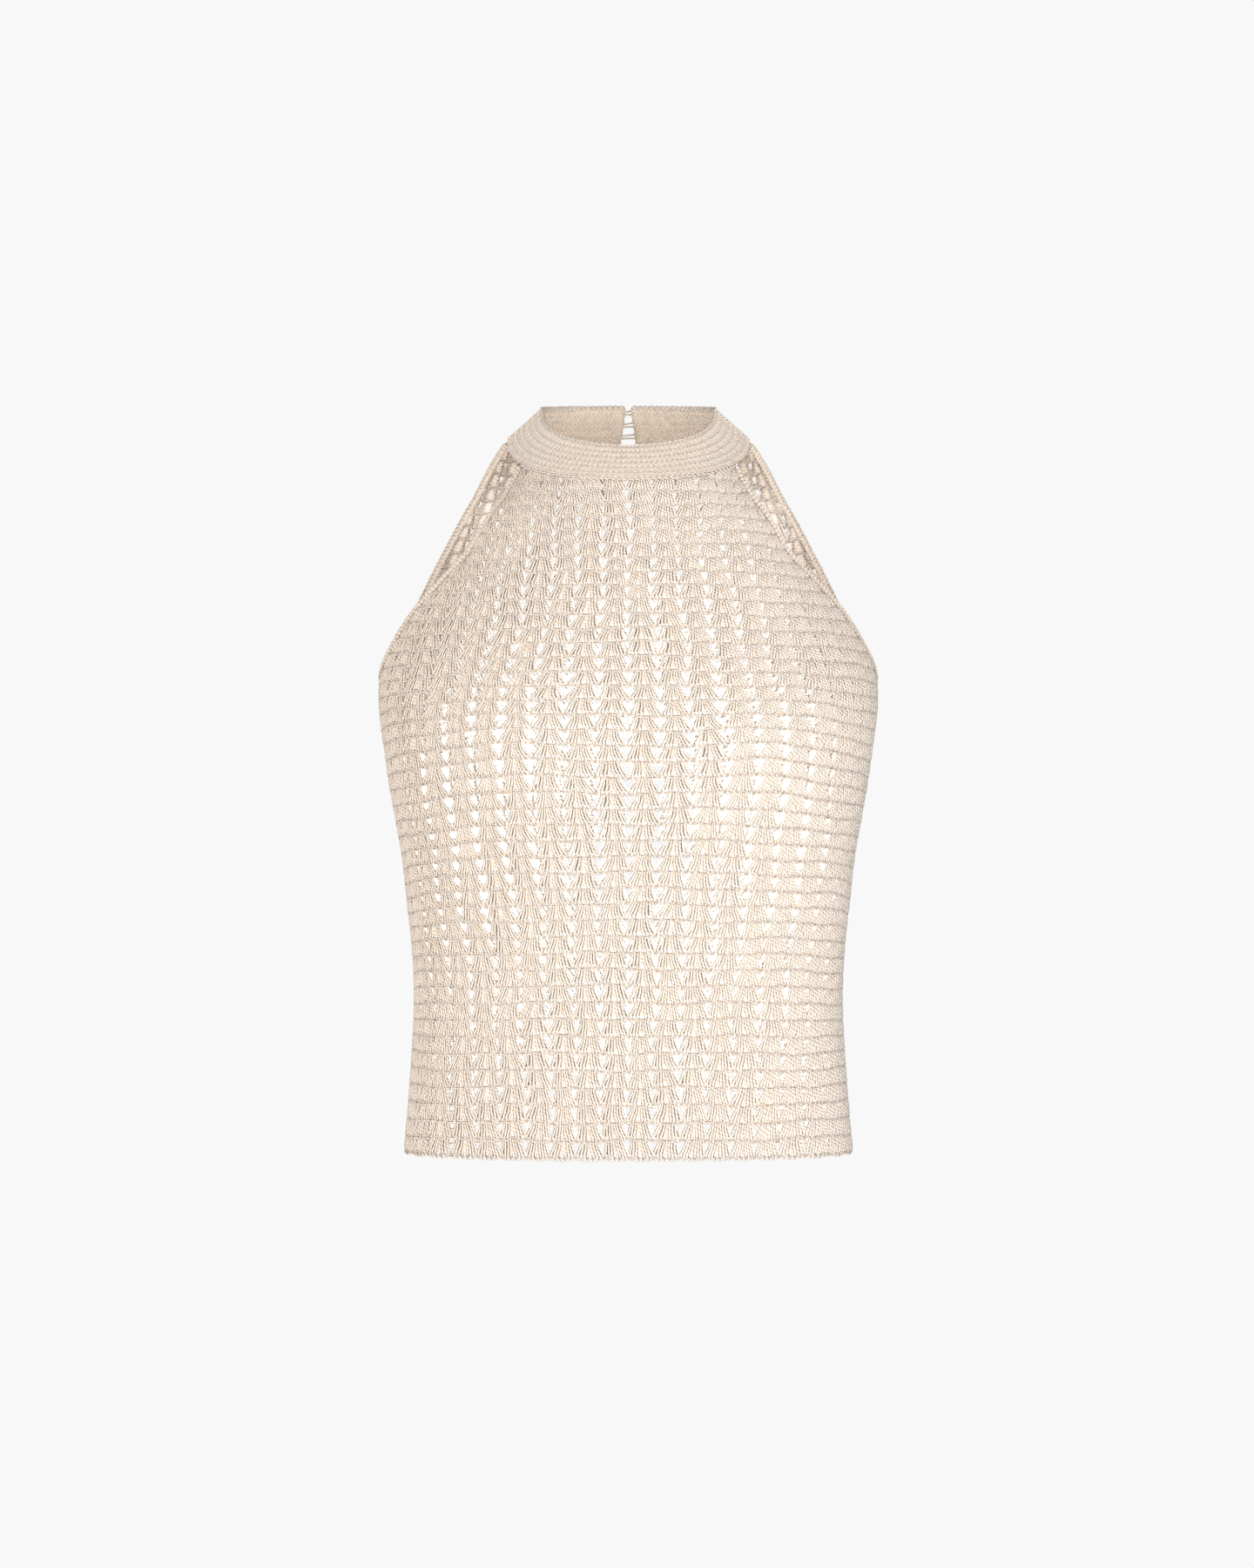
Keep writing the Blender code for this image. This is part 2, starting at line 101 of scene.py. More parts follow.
# %% Rings of the form, in millimetres above the lowest one
FRONT, BACK = -1.0, 1.0
Ring = namedtuple("Ring", "height half_width depth squareness")
FRONT_RINGS = [Ring(*row) for row in (
    (0.0, 155.0, 92.0, 2.30), (55.0, 150.3, 89.0, 2.30), (114.0, 147.4, 89.0, 2.30),
    (148.0, 149.0, 93.0, 2.30), (178.0, 152.3, 98.0, 2.30), (209.0, 155.8, 104.0, 2.28),
    (256.0, 164.0, 114.0, 2.25), (283.0, 168.0, 118.0, 2.22), (308.0, 171.2, 118.5, 2.18),
    (331.0, 171.3, 116.5, 2.12), (350.0, 167.5, 113.0, 2.06), (373.0, 158.5, 107.5, 2.00),
    (397.0, 145.0, 101.5, 2.00), (415.0, 132.5, 96.5, 2.00), (441.0, 115.5, 90.0, 2.00),
    (457.0, 100.5, 85.5, 2.00), (477.0, 85.5, 79.0, 2.00), (496.5, 83.3, 73.0, 2.00),
)]
BACK_RINGS = [Ring(*row) for row in (
    (0.0, 155.0, 88.0, 2.30), (55.0, 150.3, 83.0, 2.30), (114.0, 147.4, 79.0, 2.30),
    (148.0, 149.0, 80.0, 2.30), (178.0, 152.3, 83.0, 2.30), (209.0, 155.8, 87.0, 2.28),
    (256.0, 164.0, 95.0, 2.25), (283.0, 168.0, 99.5, 2.22), (308.0, 171.2, 103.0, 2.18),
    (331.0, 171.3, 105.5, 2.12), (350.0, 167.0, 106.8, 2.06), (373.0, 159.4, 107.0, 2.00),
    (413.0, 144.0, 102.0, 2.00), (446.0, 126.2, 92.0, 2.00), (462.0, 114.2, 85.0, 2.00),
    (480.0, 98.6, 75.5, 2.00), (496.5, 83.3, 65.0, 2.00),
)]
BUST_SIDE, BUST_LEVEL, BUST_SWELL, BUST_REACH, BUST_DROP = 78.0, 290.0, 9.0, 42.0, 48.0

# %% Edges of the armholes, as degrees round from the centre line
Edge = namedtuple("Edge", "height turn")
FRONT_ARMHOLE = [Edge(*row) for row in (
    (331.0, 90.0), (332.5, 86.5), (337.0, 82.5), (343.0, 79.2), (350.0, 76.0),
    (360.0, 73.0), (373.0, 69.5), (397.0, 60.8), (415.0, 55.5), (441.0, 54.0),
    (457.0, 54.5), (477.2, 58.0),
)]
BACK_ARMHOLE = [Edge(*row) for row in (
    (331.0, 90.0), (332.5, 86.5), (337.0, 83.0), (343.0, 79.8), (350.0, 76.5),
    (364.0, 72.0), (382.0, 69.0), (413.0, 65.0), (446.0, 63.5), (462.0, 65.0),
    (480.0, 72.0), (496.1, 82.0),
)]
UNDERARM = 331.0
print("rings:", len(FRONT_RINGS), "in front,", len(BACK_RINGS), "behind")


# %% Points and directions on the form
def read(table, column, height):
    """Column of a table at an array of heights, on a smooth curve."""
    at = np.array([row.height for row in table])
    values = np.array([getattr(row, column) for row in table])
    secant = np.diff(values) / np.diff(at)
    slope = np.concatenate([secant[:1], (secant[:-1] + secant[1:]) / 2, secant[-1:]])
    height = np.clip(height, at[0], at[-1])
    place = np.clip(np.searchsorted(at, height) - 1, 0, len(at) - 2)
    span = at[place + 1] - at[place]
    t = (height - at[place]) / span
    return ((2 * t**3 - 3 * t**2 + 1) * values[place]
            + (t**3 - 2 * t**2 + t) * span * slope[place]
            + (3 * t**2 - 2 * t**3) * values[place + 1]
            + (t**3 - t**2) * span * slope[place + 1])


def form_point(side, turn, height):
    """Outer face of the cloth, an array of x, y and height in millimetres."""
    rings = FRONT_RINGS if side == FRONT else BACK_RINGS
    power = read(rings, "squareness", height)
    across, along = np.sin(turn), np.cos(turn)
    reach = (np.abs(across)**power + np.abs(along)**power)**(-1 / power)
    x = read(rings, "half_width", height) * across * reach
    y = side * read(rings, "depth", height) * along * reach
    if side == FRONT:
        beside = (np.abs(x) - BUST_SIDE) / BUST_REACH
        above = (height - BUST_LEVEL) / BUST_DROP
        y = y - BUST_SWELL * np.exp(-beside**2 - above**2) * np.maximum(along, 0)**0.5
    return np.stack([x, y, height + 0 * x], axis=-1)


def unit(vectors):
    return vectors / np.linalg.norm(vectors, axis=-1, keepdims=True)


def form_normal(side, turn, height):
    """The direction straight out of the cloth, from two short differences."""
    step, lift = 0.002, 0.5
    low = np.clip(turn - step, -math.pi / 2, math.pi / 2)
    high = np.clip(turn + step, -math.pi / 2, math.pi / 2)
    across = form_point(side, high, height) - form_point(side, low, height)
    up = form_point(side, turn, height + lift) - form_point(side, turn, height - lift)
    return unit(np.cross(across, up) * -side)


def edge_turn(side, height):
    """Turn of the armhole's edge; a whole quarter below the underarm."""
    table = FRONT_ARMHOLE if side == FRONT else BACK_ARMHOLE
    cut = np.radians(read(table, "turn", height))
    return np.where(height <= UNDERARM, math.pi / 2, cut)


SEAM_SIDE_LEVEL, SEAM_FRONT_DROP, SEAM_BACK_DROP, DIP_POWER = 496.5, 30.6, 3.0, 0.75
RIM_HALF_WIDTH, RIM_FRONT_DEPTH, RIM_BACK_DEPTH = 60.0, 58.0, 56.0
RIM_SIDE_LEVEL, RIM_FRONT_DROP, RIM_BACK_RISE = 517.2, 29.4, 5.5


def seam_level(side, turn):
    along = np.maximum(0.0, np.cos(turn))
    if side == FRONT:
        return SEAM_SIDE_LEVEL - SEAM_FRONT_DROP * along**DIP_POWER
    return SEAM_SIDE_LEVEL - SEAM_BACK_DROP * along


def to_metres(points):
    """Millimetres above the form's lowest ring to the frame's metres."""
    return points * MM + np.array([0.0, 0.0, form_z])


# %% Arc length round each ring
ARC_SPACING = 4.0
ARC_HEIGHTS = np.arange(0.0, 500.0, ARC_SPACING)
ARC_STEPS = 90


def arc_table(side):
    """Whole quarter arc at each height, and the turn at even shares of it."""
    turns = np.linspace(0, math.pi / 2, ARC_STEPS + 1)
    grid = form_point(side, turns[None, :], np.repeat(ARC_HEIGHTS[:, None], len(turns), 1))
    pieces = np.linalg.norm(np.diff(grid[..., :2], axis=1), axis=-1)
    run = np.concatenate([np.zeros((len(ARC_HEIGHTS), 1)), np.cumsum(pieces, axis=1)], axis=1)
    shares = np.linspace(0, 1, ARC_STEPS + 1)
    even = np.array([np.interp(shares * row[-1], row, turns) for row in run])
    return run[:, -1], even


ARCS = {FRONT: arc_table(FRONT), BACK: arc_table(BACK)}


def quarter_arc(side, height):
    return np.interp(height, ARC_HEIGHTS, ARCS[side][0])


def turn_at_arc(side, arc, height):
    """Turn of a point that lies an arc length from the centre line."""
    even = ARCS[side][1]
    share = np.clip(np.abs(arc) / quarter_arc(side, height), 0, 1) * ARC_STEPS
    step = np.minimum(share.astype(int), ARC_STEPS - 1)
    part = share - step
    rise = np.clip(height / ARC_SPACING, 0, len(ARC_HEIGHTS) - 1.001)
    low = rise.astype(int)
    mix = rise - low
    below = even[low, step] * (1 - part) + even[low, step + 1] * part
    above = even[low + 1, step] * (1 - part) + even[low + 1, step + 1] * part
    return np.copysign(below * (1 - mix) + above * mix, arc)


def run_along(points):
    """Distance from the start of a line of points to each of them."""
    steps = np.linalg.norm(np.diff(points, axis=0), axis=1)
    return np.concatenate([[0], np.cumsum(steps)])


for level in (0.0, 200.0, BUST_LEVEL, UNDERARM):
    girth = 2 * (quarter_arc(FRONT, level) + quarter_arc(BACK, level))
    print("round at %3d mm: %.0f mm" % (level, girth))

# %% [markdown]
# ## Columns and rows of the cloth
#
# The shells stand in columns that run unbroken from collar to hem, and there is
# a hole between each two columns. Round the bust the same stitches are pulled
# wide, and at the chest and the hem they sit closer. The tables give the width
# of a column at the centre line and the height of a row, and how far a row has
# dropped by the time that it reaches the side.

# %% Column widths and row heights
Gauge = namedtuple("Gauge", "height column row drop")
FRONT_GAUGE = [Gauge(*row) for row in (
    (0.0, 17.0, 11.9, 0.0), (60.0, 17.5, 11.7, 2.0), (130.0, 18.4, 11.2, 6.0),
    (199.0, 20.2, 10.8, 11.0), (240.0, 21.2, 10.5, 13.0), (283.0, 21.8, 10.4, 11.0),
    (310.0, 21.2, 10.2, 9.0), (331.0, 20.0, 10.0, 8.0), (379.0, 18.1, 9.7, 6.0),
    (415.0, 17.0, 9.4, 5.0), (463.0, 15.8, 8.8, 3.0), (500.0, 15.5, 8.6, 2.0),
)]
BACK_GAUGE = [Gauge(*row) for row in (
    (0.0, 18.6, 11.9, 0.0), (130.0, 18.2, 11.2, 2.0), (240.0, 20.6, 10.6, 5.0),
    (331.0, 20.6, 10.1, 6.0), (415.0, 18.2, 9.6, 4.0), (463.0, 16.6, 9.0, 3.0),
    (500.0, 15.8, 8.8, 2.0),
)]
GAUGE = {FRONT: FRONT_GAUGE, BACK: BACK_GAUGE}
HALF_COLUMNS = 10.5          # from the centre line to the side seam
BUST_RISE, BUST_COLUMN = 4.0, 4.5    # how far rows rise over the bust, and where
BUST_COLUMNS, ROW_BUST_LEVEL, ROW_BUST_REACH = 2.5, 285, 40
WIDE_LEVEL, WIDE_FADE = 420.0, 90.0  # side columns take up the spare cloth below this
TOP_LEVEL = {FRONT: 466.0, BACK: 493.5}


def row_levels(side):
    """Heights of the ridges at the centre line, from the collar to the hem."""
    levels = [TOP_LEVEL[side]]
    while levels[-1] > HEM_LEVEL:
        levels.append(levels[-1] - float(read(GAUGE[side], "row", np.array(levels[-1]))))
    if HEM_LEVEL - levels[-1] > levels[-2] - HEM_LEVEL:
        levels.pop()
    levels = np.array(levels)
    top = levels[0]
    return top - (top - levels) * (top - HEM_LEVEL) / (top - levels[-1])


ROWS = {FRONT: row_levels(FRONT), BACK: row_levels(BACK)}
HEM_ROW = {side: float(len(levels) - 1) for side, levels in ROWS.items()}
print("rows at the centre:", HEM_ROW[FRONT], "in front,", HEM_ROW[BACK], "behind")


def row_height(side, row):
    """Height at the centre line of a place in rows, also above the top one."""
    levels = ROWS[side]
    step = levels[0] - levels[1]
    inside = np.interp(row, np.arange(len(levels)), levels)
    return np.where(row < 0, levels[0] - row * step, inside)


def cloth_place(side, column, row):
    """Turn and height of a place in columns from the centre and rows down."""
    centre = row_height(side, row)
    out = np.abs(column)
    drop = read(GAUGE[side], "drop", centre) * (out / HALF_COLUMNS)**2
    if side == FRONT:
        beside = (out - BUST_COLUMN) / BUST_COLUMNS
        above = (centre - ROW_BUST_LEVEL) / ROW_BUST_REACH
        drop = drop - BUST_RISE * np.exp(-beside**2 - above**2)
    height = centre - drop
    width = read(GAUGE[side], "column", centre)
    below = np.minimum(centre, UNDERARM)
    spare = quarter_arc(side, below) / HALF_COLUMNS - read(GAUGE[side], "column", below)
    fade = np.clip((WIDE_LEVEL - centre) / WIDE_FADE, 0, 1)
    arc = out * width + spare * fade * out**3 / HALF_COLUMNS**2
    return turn_at_arc(side, np.copysign(arc, column), np.clip(height, 0, 499)), height


# %% [markdown]
# ## Yarn
#
# Every stitch is made of short strands of one cotton yarn. A strand starts as a
# small ring, and rings along its path are bridged into a tube with closed ends.
# Three sides are enough for a yarn of a millimetre and a half, shaded smooth,
# and keep thousands of stitches light. Each strand also gets a map of the
# distance along it and round it, which the twist of the plies follows later.

# %% A strand of yarn
YARN = "yarn"                # the map of distance along and round a strand
SHADE_DEPTH = "depth"              # painted shade on a point of a strand, given as a depth: deeper is painted darker
PLY_START = 1.7              # each strand's twist starts this much further on
UPRIGHT = 0.2                # under this, a strand runs straight out of the cloth


def ring_edges(ring):
    members = set(ring)
    return {edge for vert in ring for edge in vert.link_edges
            if edge.verts[0] in members and edge.verts[1] in members}


class Stitch:
    """One stitch: its mesh, and for each point the middle of its strand there."""

    def __init__(self, name):
        self.name = name
        self.work = bmesh.new()
        self.order = self.work.verts.layers.int.new("order")
        # a layer for the painted shade of each point
        self.depth = self.work.verts.layers.float.new(SHADE_DEPTH)
        self.centres, self.strands, self.alongs, self.arounds = [], [], [], []
        self.count = 0

    def add(self, path, radius, sides=3, taper=0.75, swell=0.0, widths=None, depths=None):
        """A closed tube along a path of points, in millimetres; widths flatten it, and depths
        paint shade on it.
        """
        path = [Vector(point) for point in path]
        last = len(path) - 1
        run = PLY_START * self.count
        before = None
        for place, point in enumerate(path):
            ahead = (path[min(place + 1, last)] - path[max(place - 1, 0)]).normalized()
            lean = Vector((0, 0, 1)) - ahead * ahead.z
            if lean.length < UPRIGHT:
                lean = Vector((1, 0, 0)) - ahead * ahead.x
            lean.normalize()
            axes = Matrix((lean, ahead.cross(lean), ahead)).transposed().to_4x4()
            at_end = place in (0, last)
            size = radius * (1 + swell * place / last) * (taper if at_end else 1.0)
            flat = Matrix.Diagonal((1, widths[place] / radius if widths else 1, 1, 1))
            ring = bmesh.ops.create_circle(self.work, segments=sides, radius=size, cap_ends=at_end,
                                           matrix=Matrix.Translation(point) @ axes @ flat)["verts"]
            if place:
                run += (point - path[place - 1]).length
            for vert in ring:
                vert[self.order] = len(self.centres)
                # each point gets its painted shade from depths
                vert[self.depth] = depths[place] if depths else 0.0
                arm = vert.co - point
                self.centres.append(point)
                self.strands.append(self.count)
                self.alongs.append(run)
                turned = math.atan2(arm.dot(axes.col[1].xyz), arm.dot(lean))
                self.arounds.append(turned / math.tau % 1)
            if before:
                edges = [edge for loop in (before, ring) for edge in ring_edges(loop)]
                bmesh.ops.bridge_loops(self.work, edges=edges)
            before = ring
        self.count += 1

    def finish(self):
        """The stitch as a mesh, faces out, with its yarn map."""
        bmesh.ops.recalc_face_normals(self.work, faces=self.work.faces[:])
        layer = self.work.loops.layers.uv.new(YARN)
        for face in self.work.faces:
            arounds = [self.arounds[loop.vert[self.order]] for loop in face.loops]
            wraps = max(arounds) - min(arounds) > 0.5
            for loop, around in zip(face.loops, arounds):
                if wraps and around < 0.5:
                    around += 1.0
                loop[layer].uv = (self.alongs[loop.vert[self.order]], around)
        bmesh.ops.triangulate(self.work, faces=self.work.faces[:])
        order = [vert[self.order] for vert in self.work.verts]
        self.mesh = bpy.data.meshes.new(self.name)
        self.work.verts.layers.int.remove(self.order)
        self.work.to_mesh(self.mesh)
        self.work.free()
        points = np.array([vert.co for vert in self.mesh.vertices])
        self.centres = np.array(self.centres)[order]
        self.offsets = points - self.centres
        self.strands = np.array(self.strands)[order]
        print("%s: %d strands, %d triangles" % (self.name, self.count, len(self.mesh.polygons)))
        return self


def repeat(stitch, name, points):
    """The stitch over and over in one object; points is a row of places for each copy."""
    piece = placed(name, stitch.mesh)
    rows = piece.modifiers.new("repeat", "ARRAY")
    rows.count = len(points)
    rows.use_merge_vertices = False
    shown = bpy.context.evaluated_depsgraph_get()
    data = bpy.data.meshes.new_from_object(piece.evaluated_get(shown))
    piece.modifiers.clear()
    piece.data = data
    data.name = name
    data.vertices.foreach_set("co", to_metres(points).astype(np.float32).ravel())
    data.update()
    data.shade_smooth()
    print("%s: %d triangles" % (name, len(data.polygons)))
    return piece


# %% [markdown]
# ## Shell stitch
#
# A shell is four tall stitches worked into one small gap, so they spread like a
# fan, narrow at the top and wide at the foot. Each of the four shows two strands
# that cross once. A mesh with painted holes would look flat, because the fan's
# strands cast the fine shadows that make crochet look like crochet. So each
# strand is a real tube, and the fan of eight is repeated over the cloth.

# %% One fan, eight strands
COLUMN, ROW = 20.0, 10.0     # the plain stitch's own width and height
POSTS = 4
FAN_RADIUS, FAN_SWELL = 0.80, 0.72   # at the top, and its growth towards the foot
CROSSING = 0.16              # how far one strand of a post passes before the other
FOOT_OPENING = 0.85          # how far the two middle strands part at the foot
DARK_SHADE_DOT, SOFT_SHADE_DOT = 1.2, 0.4        # painted shade at the strands' feet, as depths


def make_fan():
    fan = Stitch("fan")
    dark_shade_strands = (0, POSTS - 1, POSTS, 2 * POSTS - 1)
    for number in range(2 * POSTS):
        place = (number - POSTS + 0.5) / (POSTS - 0.5)
        front = CROSSING if number % 2 else -CROSSING
        open_foot = math.copysign(FOOT_OPENING, place) * (1 - abs(place))**2
        dot = DARK_SHADE_DOT if number in dark_shade_strands else SOFT_SHADE_DOT
        # Depths paint shade: a little at each strand's top, most at the feet of the outer and
        # middle strands.
        fan.add([
            (place * 4.2, 1.0, 0.15),
            (place * 4.8, -1.7, 0.38 + front),
            (place * 6.2, -4.7, 0.46 + front),
            (place * 8.1 + open_foot, -7.4, 0.38 - front),
            (place * 9.7 + open_foot, -10.3, 0.12),
        ], FAN_RADIUS, swell=FAN_SWELL, depths=[0.5, 0.0, 0.0, 0.0, dot])
    return fan.finish()


fan = make_fan()

# %% [markdown]
# ## Ridge between rows
#
# Each row of shells hangs from a chain that was left by the row before it, and
# from the right side the chain shows as a thin braid. One link is two short
# strands in a V. Five links make the width of one column. A flat web hangs from
# them behind the fan, and closes the gaps between its strands.

# %% Five links of the ridge
LINKS = 5
LINK = COLUMN / LINKS
LINK_RADIUS = 0.60
WEB_THICKNESS = 0.55         # half of it, at the middle


def make_ridge():
    ridge = Stitch("ridge")
    for number in range(LINKS):
        start = -COLUMN / 2 + LINK * number
        for hand in (1, -1):
            # depths paint shade at the start of each link
            ridge.add([
                (start - 0.5, 0.10 * hand, 0.36),
                (start + 1.9, 0.90 * hand, 0.62),
                (start + LINK + 0.3, 0.30 * hand, 0.44),
            ], LINK_RADIUS, depths=[0.85, 0.0, 0.15])
    ridge.add([(0, 0.8, -0.5), (0, -1.9, -0.3), (0, -4.6, -0.3), (0, -7.9, -0.4)],
              WEB_THICKNESS, sides=4, taper=1.0, widths=[4.4, 5.0, 6.3, 8.3])
    return ridge.finish()


ridge = make_ridge()

# %% [markdown]
# ## Laying stitches on a panel
#
# Handmade rows wander a little, shells lean one way and then the other, and some
# holes are tighter than their neighbours. Slow waves over the whole cloth move
# the ridges and the fans together, so nothing comes apart, and small seeded
# draws give each fan its own lean. Strands that fall past the armhole, the
# collar or the keyhole are dropped, and the last ones are held at the edge.

# %% Wander
draws = np.random.default_rng(12)


def wander(side, column, row):
    """Small slow shifts of the cloth, in columns and rows."""
    turned = 1.3 * side
    across = (0.050 * np.sin(0.61 * row + 0.83 * column + turned)
              + 0.040 * np.sin(1.07 * row - 1.31 * column + 2.1 * turned)
              + 0.028 * np.sin(2.3 * column + 0.37 * row))
    down = (0.060 * np.sin(0.93 * column + 0.41 * row + turned)
            + 0.045 * np.sin(1.71 * column - 0.77 * row + 0.4)
            + 0.030 * np.sin(2.9 * column + 1.9 * row + turned))
    fade = np.clip((HALF_COLUMNS - np.abs(column)) / 1.5, 0, 1)
    free = np.clip(row, 0, 1) * np.clip(HEM_ROW[side] - row, 0, 1)
    return column + across * fade, row + down * free


# %% How open the cloth is
OPEN_HEIGHTS = [0, 40, 90, 150, 230, 320, 345, 400, 440, 500]
OPEN_MIDDLE = [0.26, 0.24, 0.28, 0.42, 0.62, 0.80, 0.58, 0.20, 0.22, 0.30]
BAND_HEIGHTS = [0, 100, 200, 300, 340, 400]
LAST_OPEN_COLUMN = [8.8, 8.2, 7.9, 7.7, 7.0, 7.4]
BAND_FADE, BAND_CLOSED = 1.1, 0.15
STRETCH, STRETCH_COLUMN, STRETCH_COLUMNS = 0.55, 5.3, 2.2    # over the bust
STRETCH_LEVEL, STRETCH_REACH = 278, 48


def openness(side, column, height):
    """How wide the holes are: widest at the bust, none in the side band."""
    middle = np.interp(height, OPEN_HEIGHTS, OPEN_MIDDLE)
    beside = (np.abs(column) - STRETCH_COLUMN) / STRETCH_COLUMNS
    above = (height - STRETCH_LEVEL) / STRETCH_REACH
    middle = middle + STRETCH * np.exp(-beside**2 - above**2) * (side == FRONT)
    last = np.interp(height, BAND_HEIGHTS, LAST_OPEN_COLUMN)
    inside = np.clip((last - np.abs(column)) / BAND_FADE, 0, 1)
    return middle * inside - BAND_CLOSED * (1 - inside)


print("openness at the bust: %.2f" % openness(FRONT, STRETCH_COLUMN, float(STRETCH_LEVEL)))


# %% The keyhole, and trimming to the panel's edges
KEYHOLE_DEPTH, KEYHOLE_RADIUS, KEYHOLE_NARROW = 52.0, 12.0, 5.0
EDGING_WIDTH, EDGING_GAP = 3.6, 0.4
CLOTH_MIDDLE = -1.25         # middle of the stitches, under the outer face
TUCK = 0.6                   # the panel's top stays this far under the collar's seam
SIDE_SLACK, TURN_SLACK, TOP_SLACK = 0.02, 0.004, 0.4
KEPT_SHARE = 0.45            # a strand stays if this much of it lies on the cloth


def keyhole_half_width(drop):
    centre = KEYHOLE_DEPTH - KEYHOLE_RADIUS
    radius = KEYHOLE_RADIUS + EDGING_WIDTH + EDGING_GAP
    neck = radius - KEYHOLE_NARROW * np.clip(1 - drop / centre, 0, 1)**1.6
    bowl = np.sqrt(np.clip(radius**2 - np.clip(drop - centre, 0, radius)**2, 0, None))
    return np.where(drop < centre, neck, np.where(drop < centre + radius, bowl, 0.0))


print("keyhole: %.0f mm deep, half %.1f mm at the top" % (KEYHOLE_DEPTH, keyhole_half_width(0.0)))


def cloth_axes(side, turn, height):
    """The outer face, and the directions right, up and out from it."""
    point = form_point(side, turn, height)
    out = form_normal(side, turn, height)
    right = unit(np.cross(np.array([0.0, 0.0, 1.0]), out))
    return point, right, np.cross(out, right), out


def raised(axes, offsets, lift):
    """Each strand's own points, from the middle line that was carried."""
    point, right, up, out = axes
    return (point + right * offsets[..., 0:1] + up * offsets[..., 1:2]
            + out * (offsets[..., 2:3] + lift[..., None]))


def cut_away(piece, gone):
    """Deletes the points of a repeated stitch that fall outside the cloth."""
    work = bmesh.new()
    work.from_mesh(piece.data)
    work.verts.ensure_lookup_table()
    outside = [work.verts[place] for place in np.flatnonzero(gone)]
    bmesh.ops.delete(work, geom=outside, context="VERTS")
    work.to_mesh(piece.data)
    work.free()


def lay(name, side, stitch, cells, shape):
    """Repeats a stitch over a panel: one copy for each cell."""
    columns, rows = cells.columns, cells.rows
    across, up, lift = shape(cells, stitch)
    below = np.minimum(-up / ROW, HEM_ROW[side] - rows[:, None])
    column, row = wander(side, columns[:, None] + across / COLUMN, rows[:, None] + below)
    inner = np.abs(column) <= HALF_COLUMNS + SIDE_SLACK
    turn, height = cloth_place(side, np.clip(column, -HALF_COLUMNS, HALF_COLUMNS), row)
    turn = turn * -side
    limit = edge_turn(side, height)
    top = seam_level(side, turn) - TUCK
    inner &= (np.abs(turn) <= limit + TURN_SLACK) & (height <= top + TOP_SLACK)
    turn = np.clip(turn, -limit, limit)
    height = np.minimum(height, top)
    if side == BACK:
        drop = seam_level(BACK, np.zeros(1)) - TUCK - height
        hole = keyhole_half_width(drop)
        reach = np.abs(form_point(BACK, turn, height)[..., 0])
        inner &= reach >= hole
        turn = np.where(reach < hole, turn * hole / np.maximum(reach, 1.0), turn)
    share = np.stack([inner[:, stitch.strands == number].mean(axis=1)
                      for number in range(stitch.count)], axis=1)
    keep = share[:, stitch.strands] > KEPT_SHARE
    offsets = np.broadcast_to(stitch.offsets, inner.shape + (3,)).copy()
    offsets[..., 1] += up + below * ROW
    points = raised(cloth_axes(side, turn, height), offsets, lift + CLOTH_MIDDLE)
    piece = repeat(stitch, name, points)
    cut_away(piece, ~keep.ravel())
    piece.data.shade_smooth()
    print("%s: %d triangles after the trim" % (name, len(piece.data.polygons)))
    return piece


# %% The rows and columns of a panel
ROWS_ABOVE = 4               # short rows beside the neck, over the first whole row
HEM_SCALLOP, HEM_WEB = 1.1, 0.05     # the last row's wave; its web is pulled in
CLOSING_SHARE = 0.62         # how much wider a fan's top is where the hole is closed
CLOSING_LIMITS = (-0.6, 1.15)
Cells = namedtuple("Cells", "columns rows hem holes lean bend")


def cells_for(side):
    """Every cell of a panel, from the neck to the hem, and its own character."""
    last = len(ROWS[side])
    first = -ROWS_ABOVE if side == FRONT else -1
    columns, rows = (part.ravel() for part in np.meshgrid(
        np.arange(-HALF_COLUMNS, HALF_COLUMNS + 0.5, 1.0), np.arange(first, last, 1.0)))
    holes = openness(side, columns, row_height(side, rows)) + draws.normal(0, 0.10, len(columns))
    lean = (1.05 * np.sin(0.47 * columns + 0.31 * rows + side)
            + 0.75 * np.sin(1.3 * columns - 0.9 * rows) + draws.normal(0, 0.55, len(columns)))
    bend = draws.normal(0, 0.35, len(columns))
    return Cells(columns, rows, rows == HEM_ROW[side], holes, lean, bend)


def spread(cells, x, y):
    """Across the cell, wider at the top where the holes are small, and leaning."""
    down = np.clip(-y / ROW, 0, 1)[None, :]
    closing = np.clip(1 - cells.holes, *CLOSING_LIMITS)[:, None]
    wider = 1 + closing * CLOSING_SHARE * (1 - down)
    return (x[None, :] * wider + cells.lean[:, None] * (0.5 - down)
            + np.sin(math.pi * down) * cells.bend[:, None])


def fan_shape(cells, stitch):
    x, y, z = stitch.centres.T
    across = spread(cells, x, y)
    up = y[None, :] + 0 * across
    lift = z[None, :] + draws.normal(0, 0.10, across.shape[0])[:, None] + 0 * across
    return across, up, lift


def ridge_shape(cells, stitch):
    x, y, z = stitch.centres.T
    web = (stitch.strands == 2 * LINKS)[None, :]
    across = np.where(web, spread(cells, x, y), x[None, :])
    hem_row = cells.hem[:, None]
    scallop = HEM_SCALLOP * (hem_row & ~web) * np.abs(np.cos(math.pi * across / COLUMN))
    up = y[None, :] * np.where(hem_row & web, HEM_WEB, 1.0) - scallop
    lift = z[None, :] + draws.normal(0, 0.06, across.shape[0])[:, None] + 0 * across
    return across, up, lift


panels = {}
for side, name in ((FRONT, "front"), (BACK, "back")):
    cells = cells_for(side)
    above_hem = Cells(*(part[~cells.hem] for part in cells))
    panels[name, "shells"] = lay(name + "_shells", side, fan, above_hem, fan_shape)
    panels[name, "ridges"] = lay(name + "_ridges", side, ridge, cells, ridge_shape)
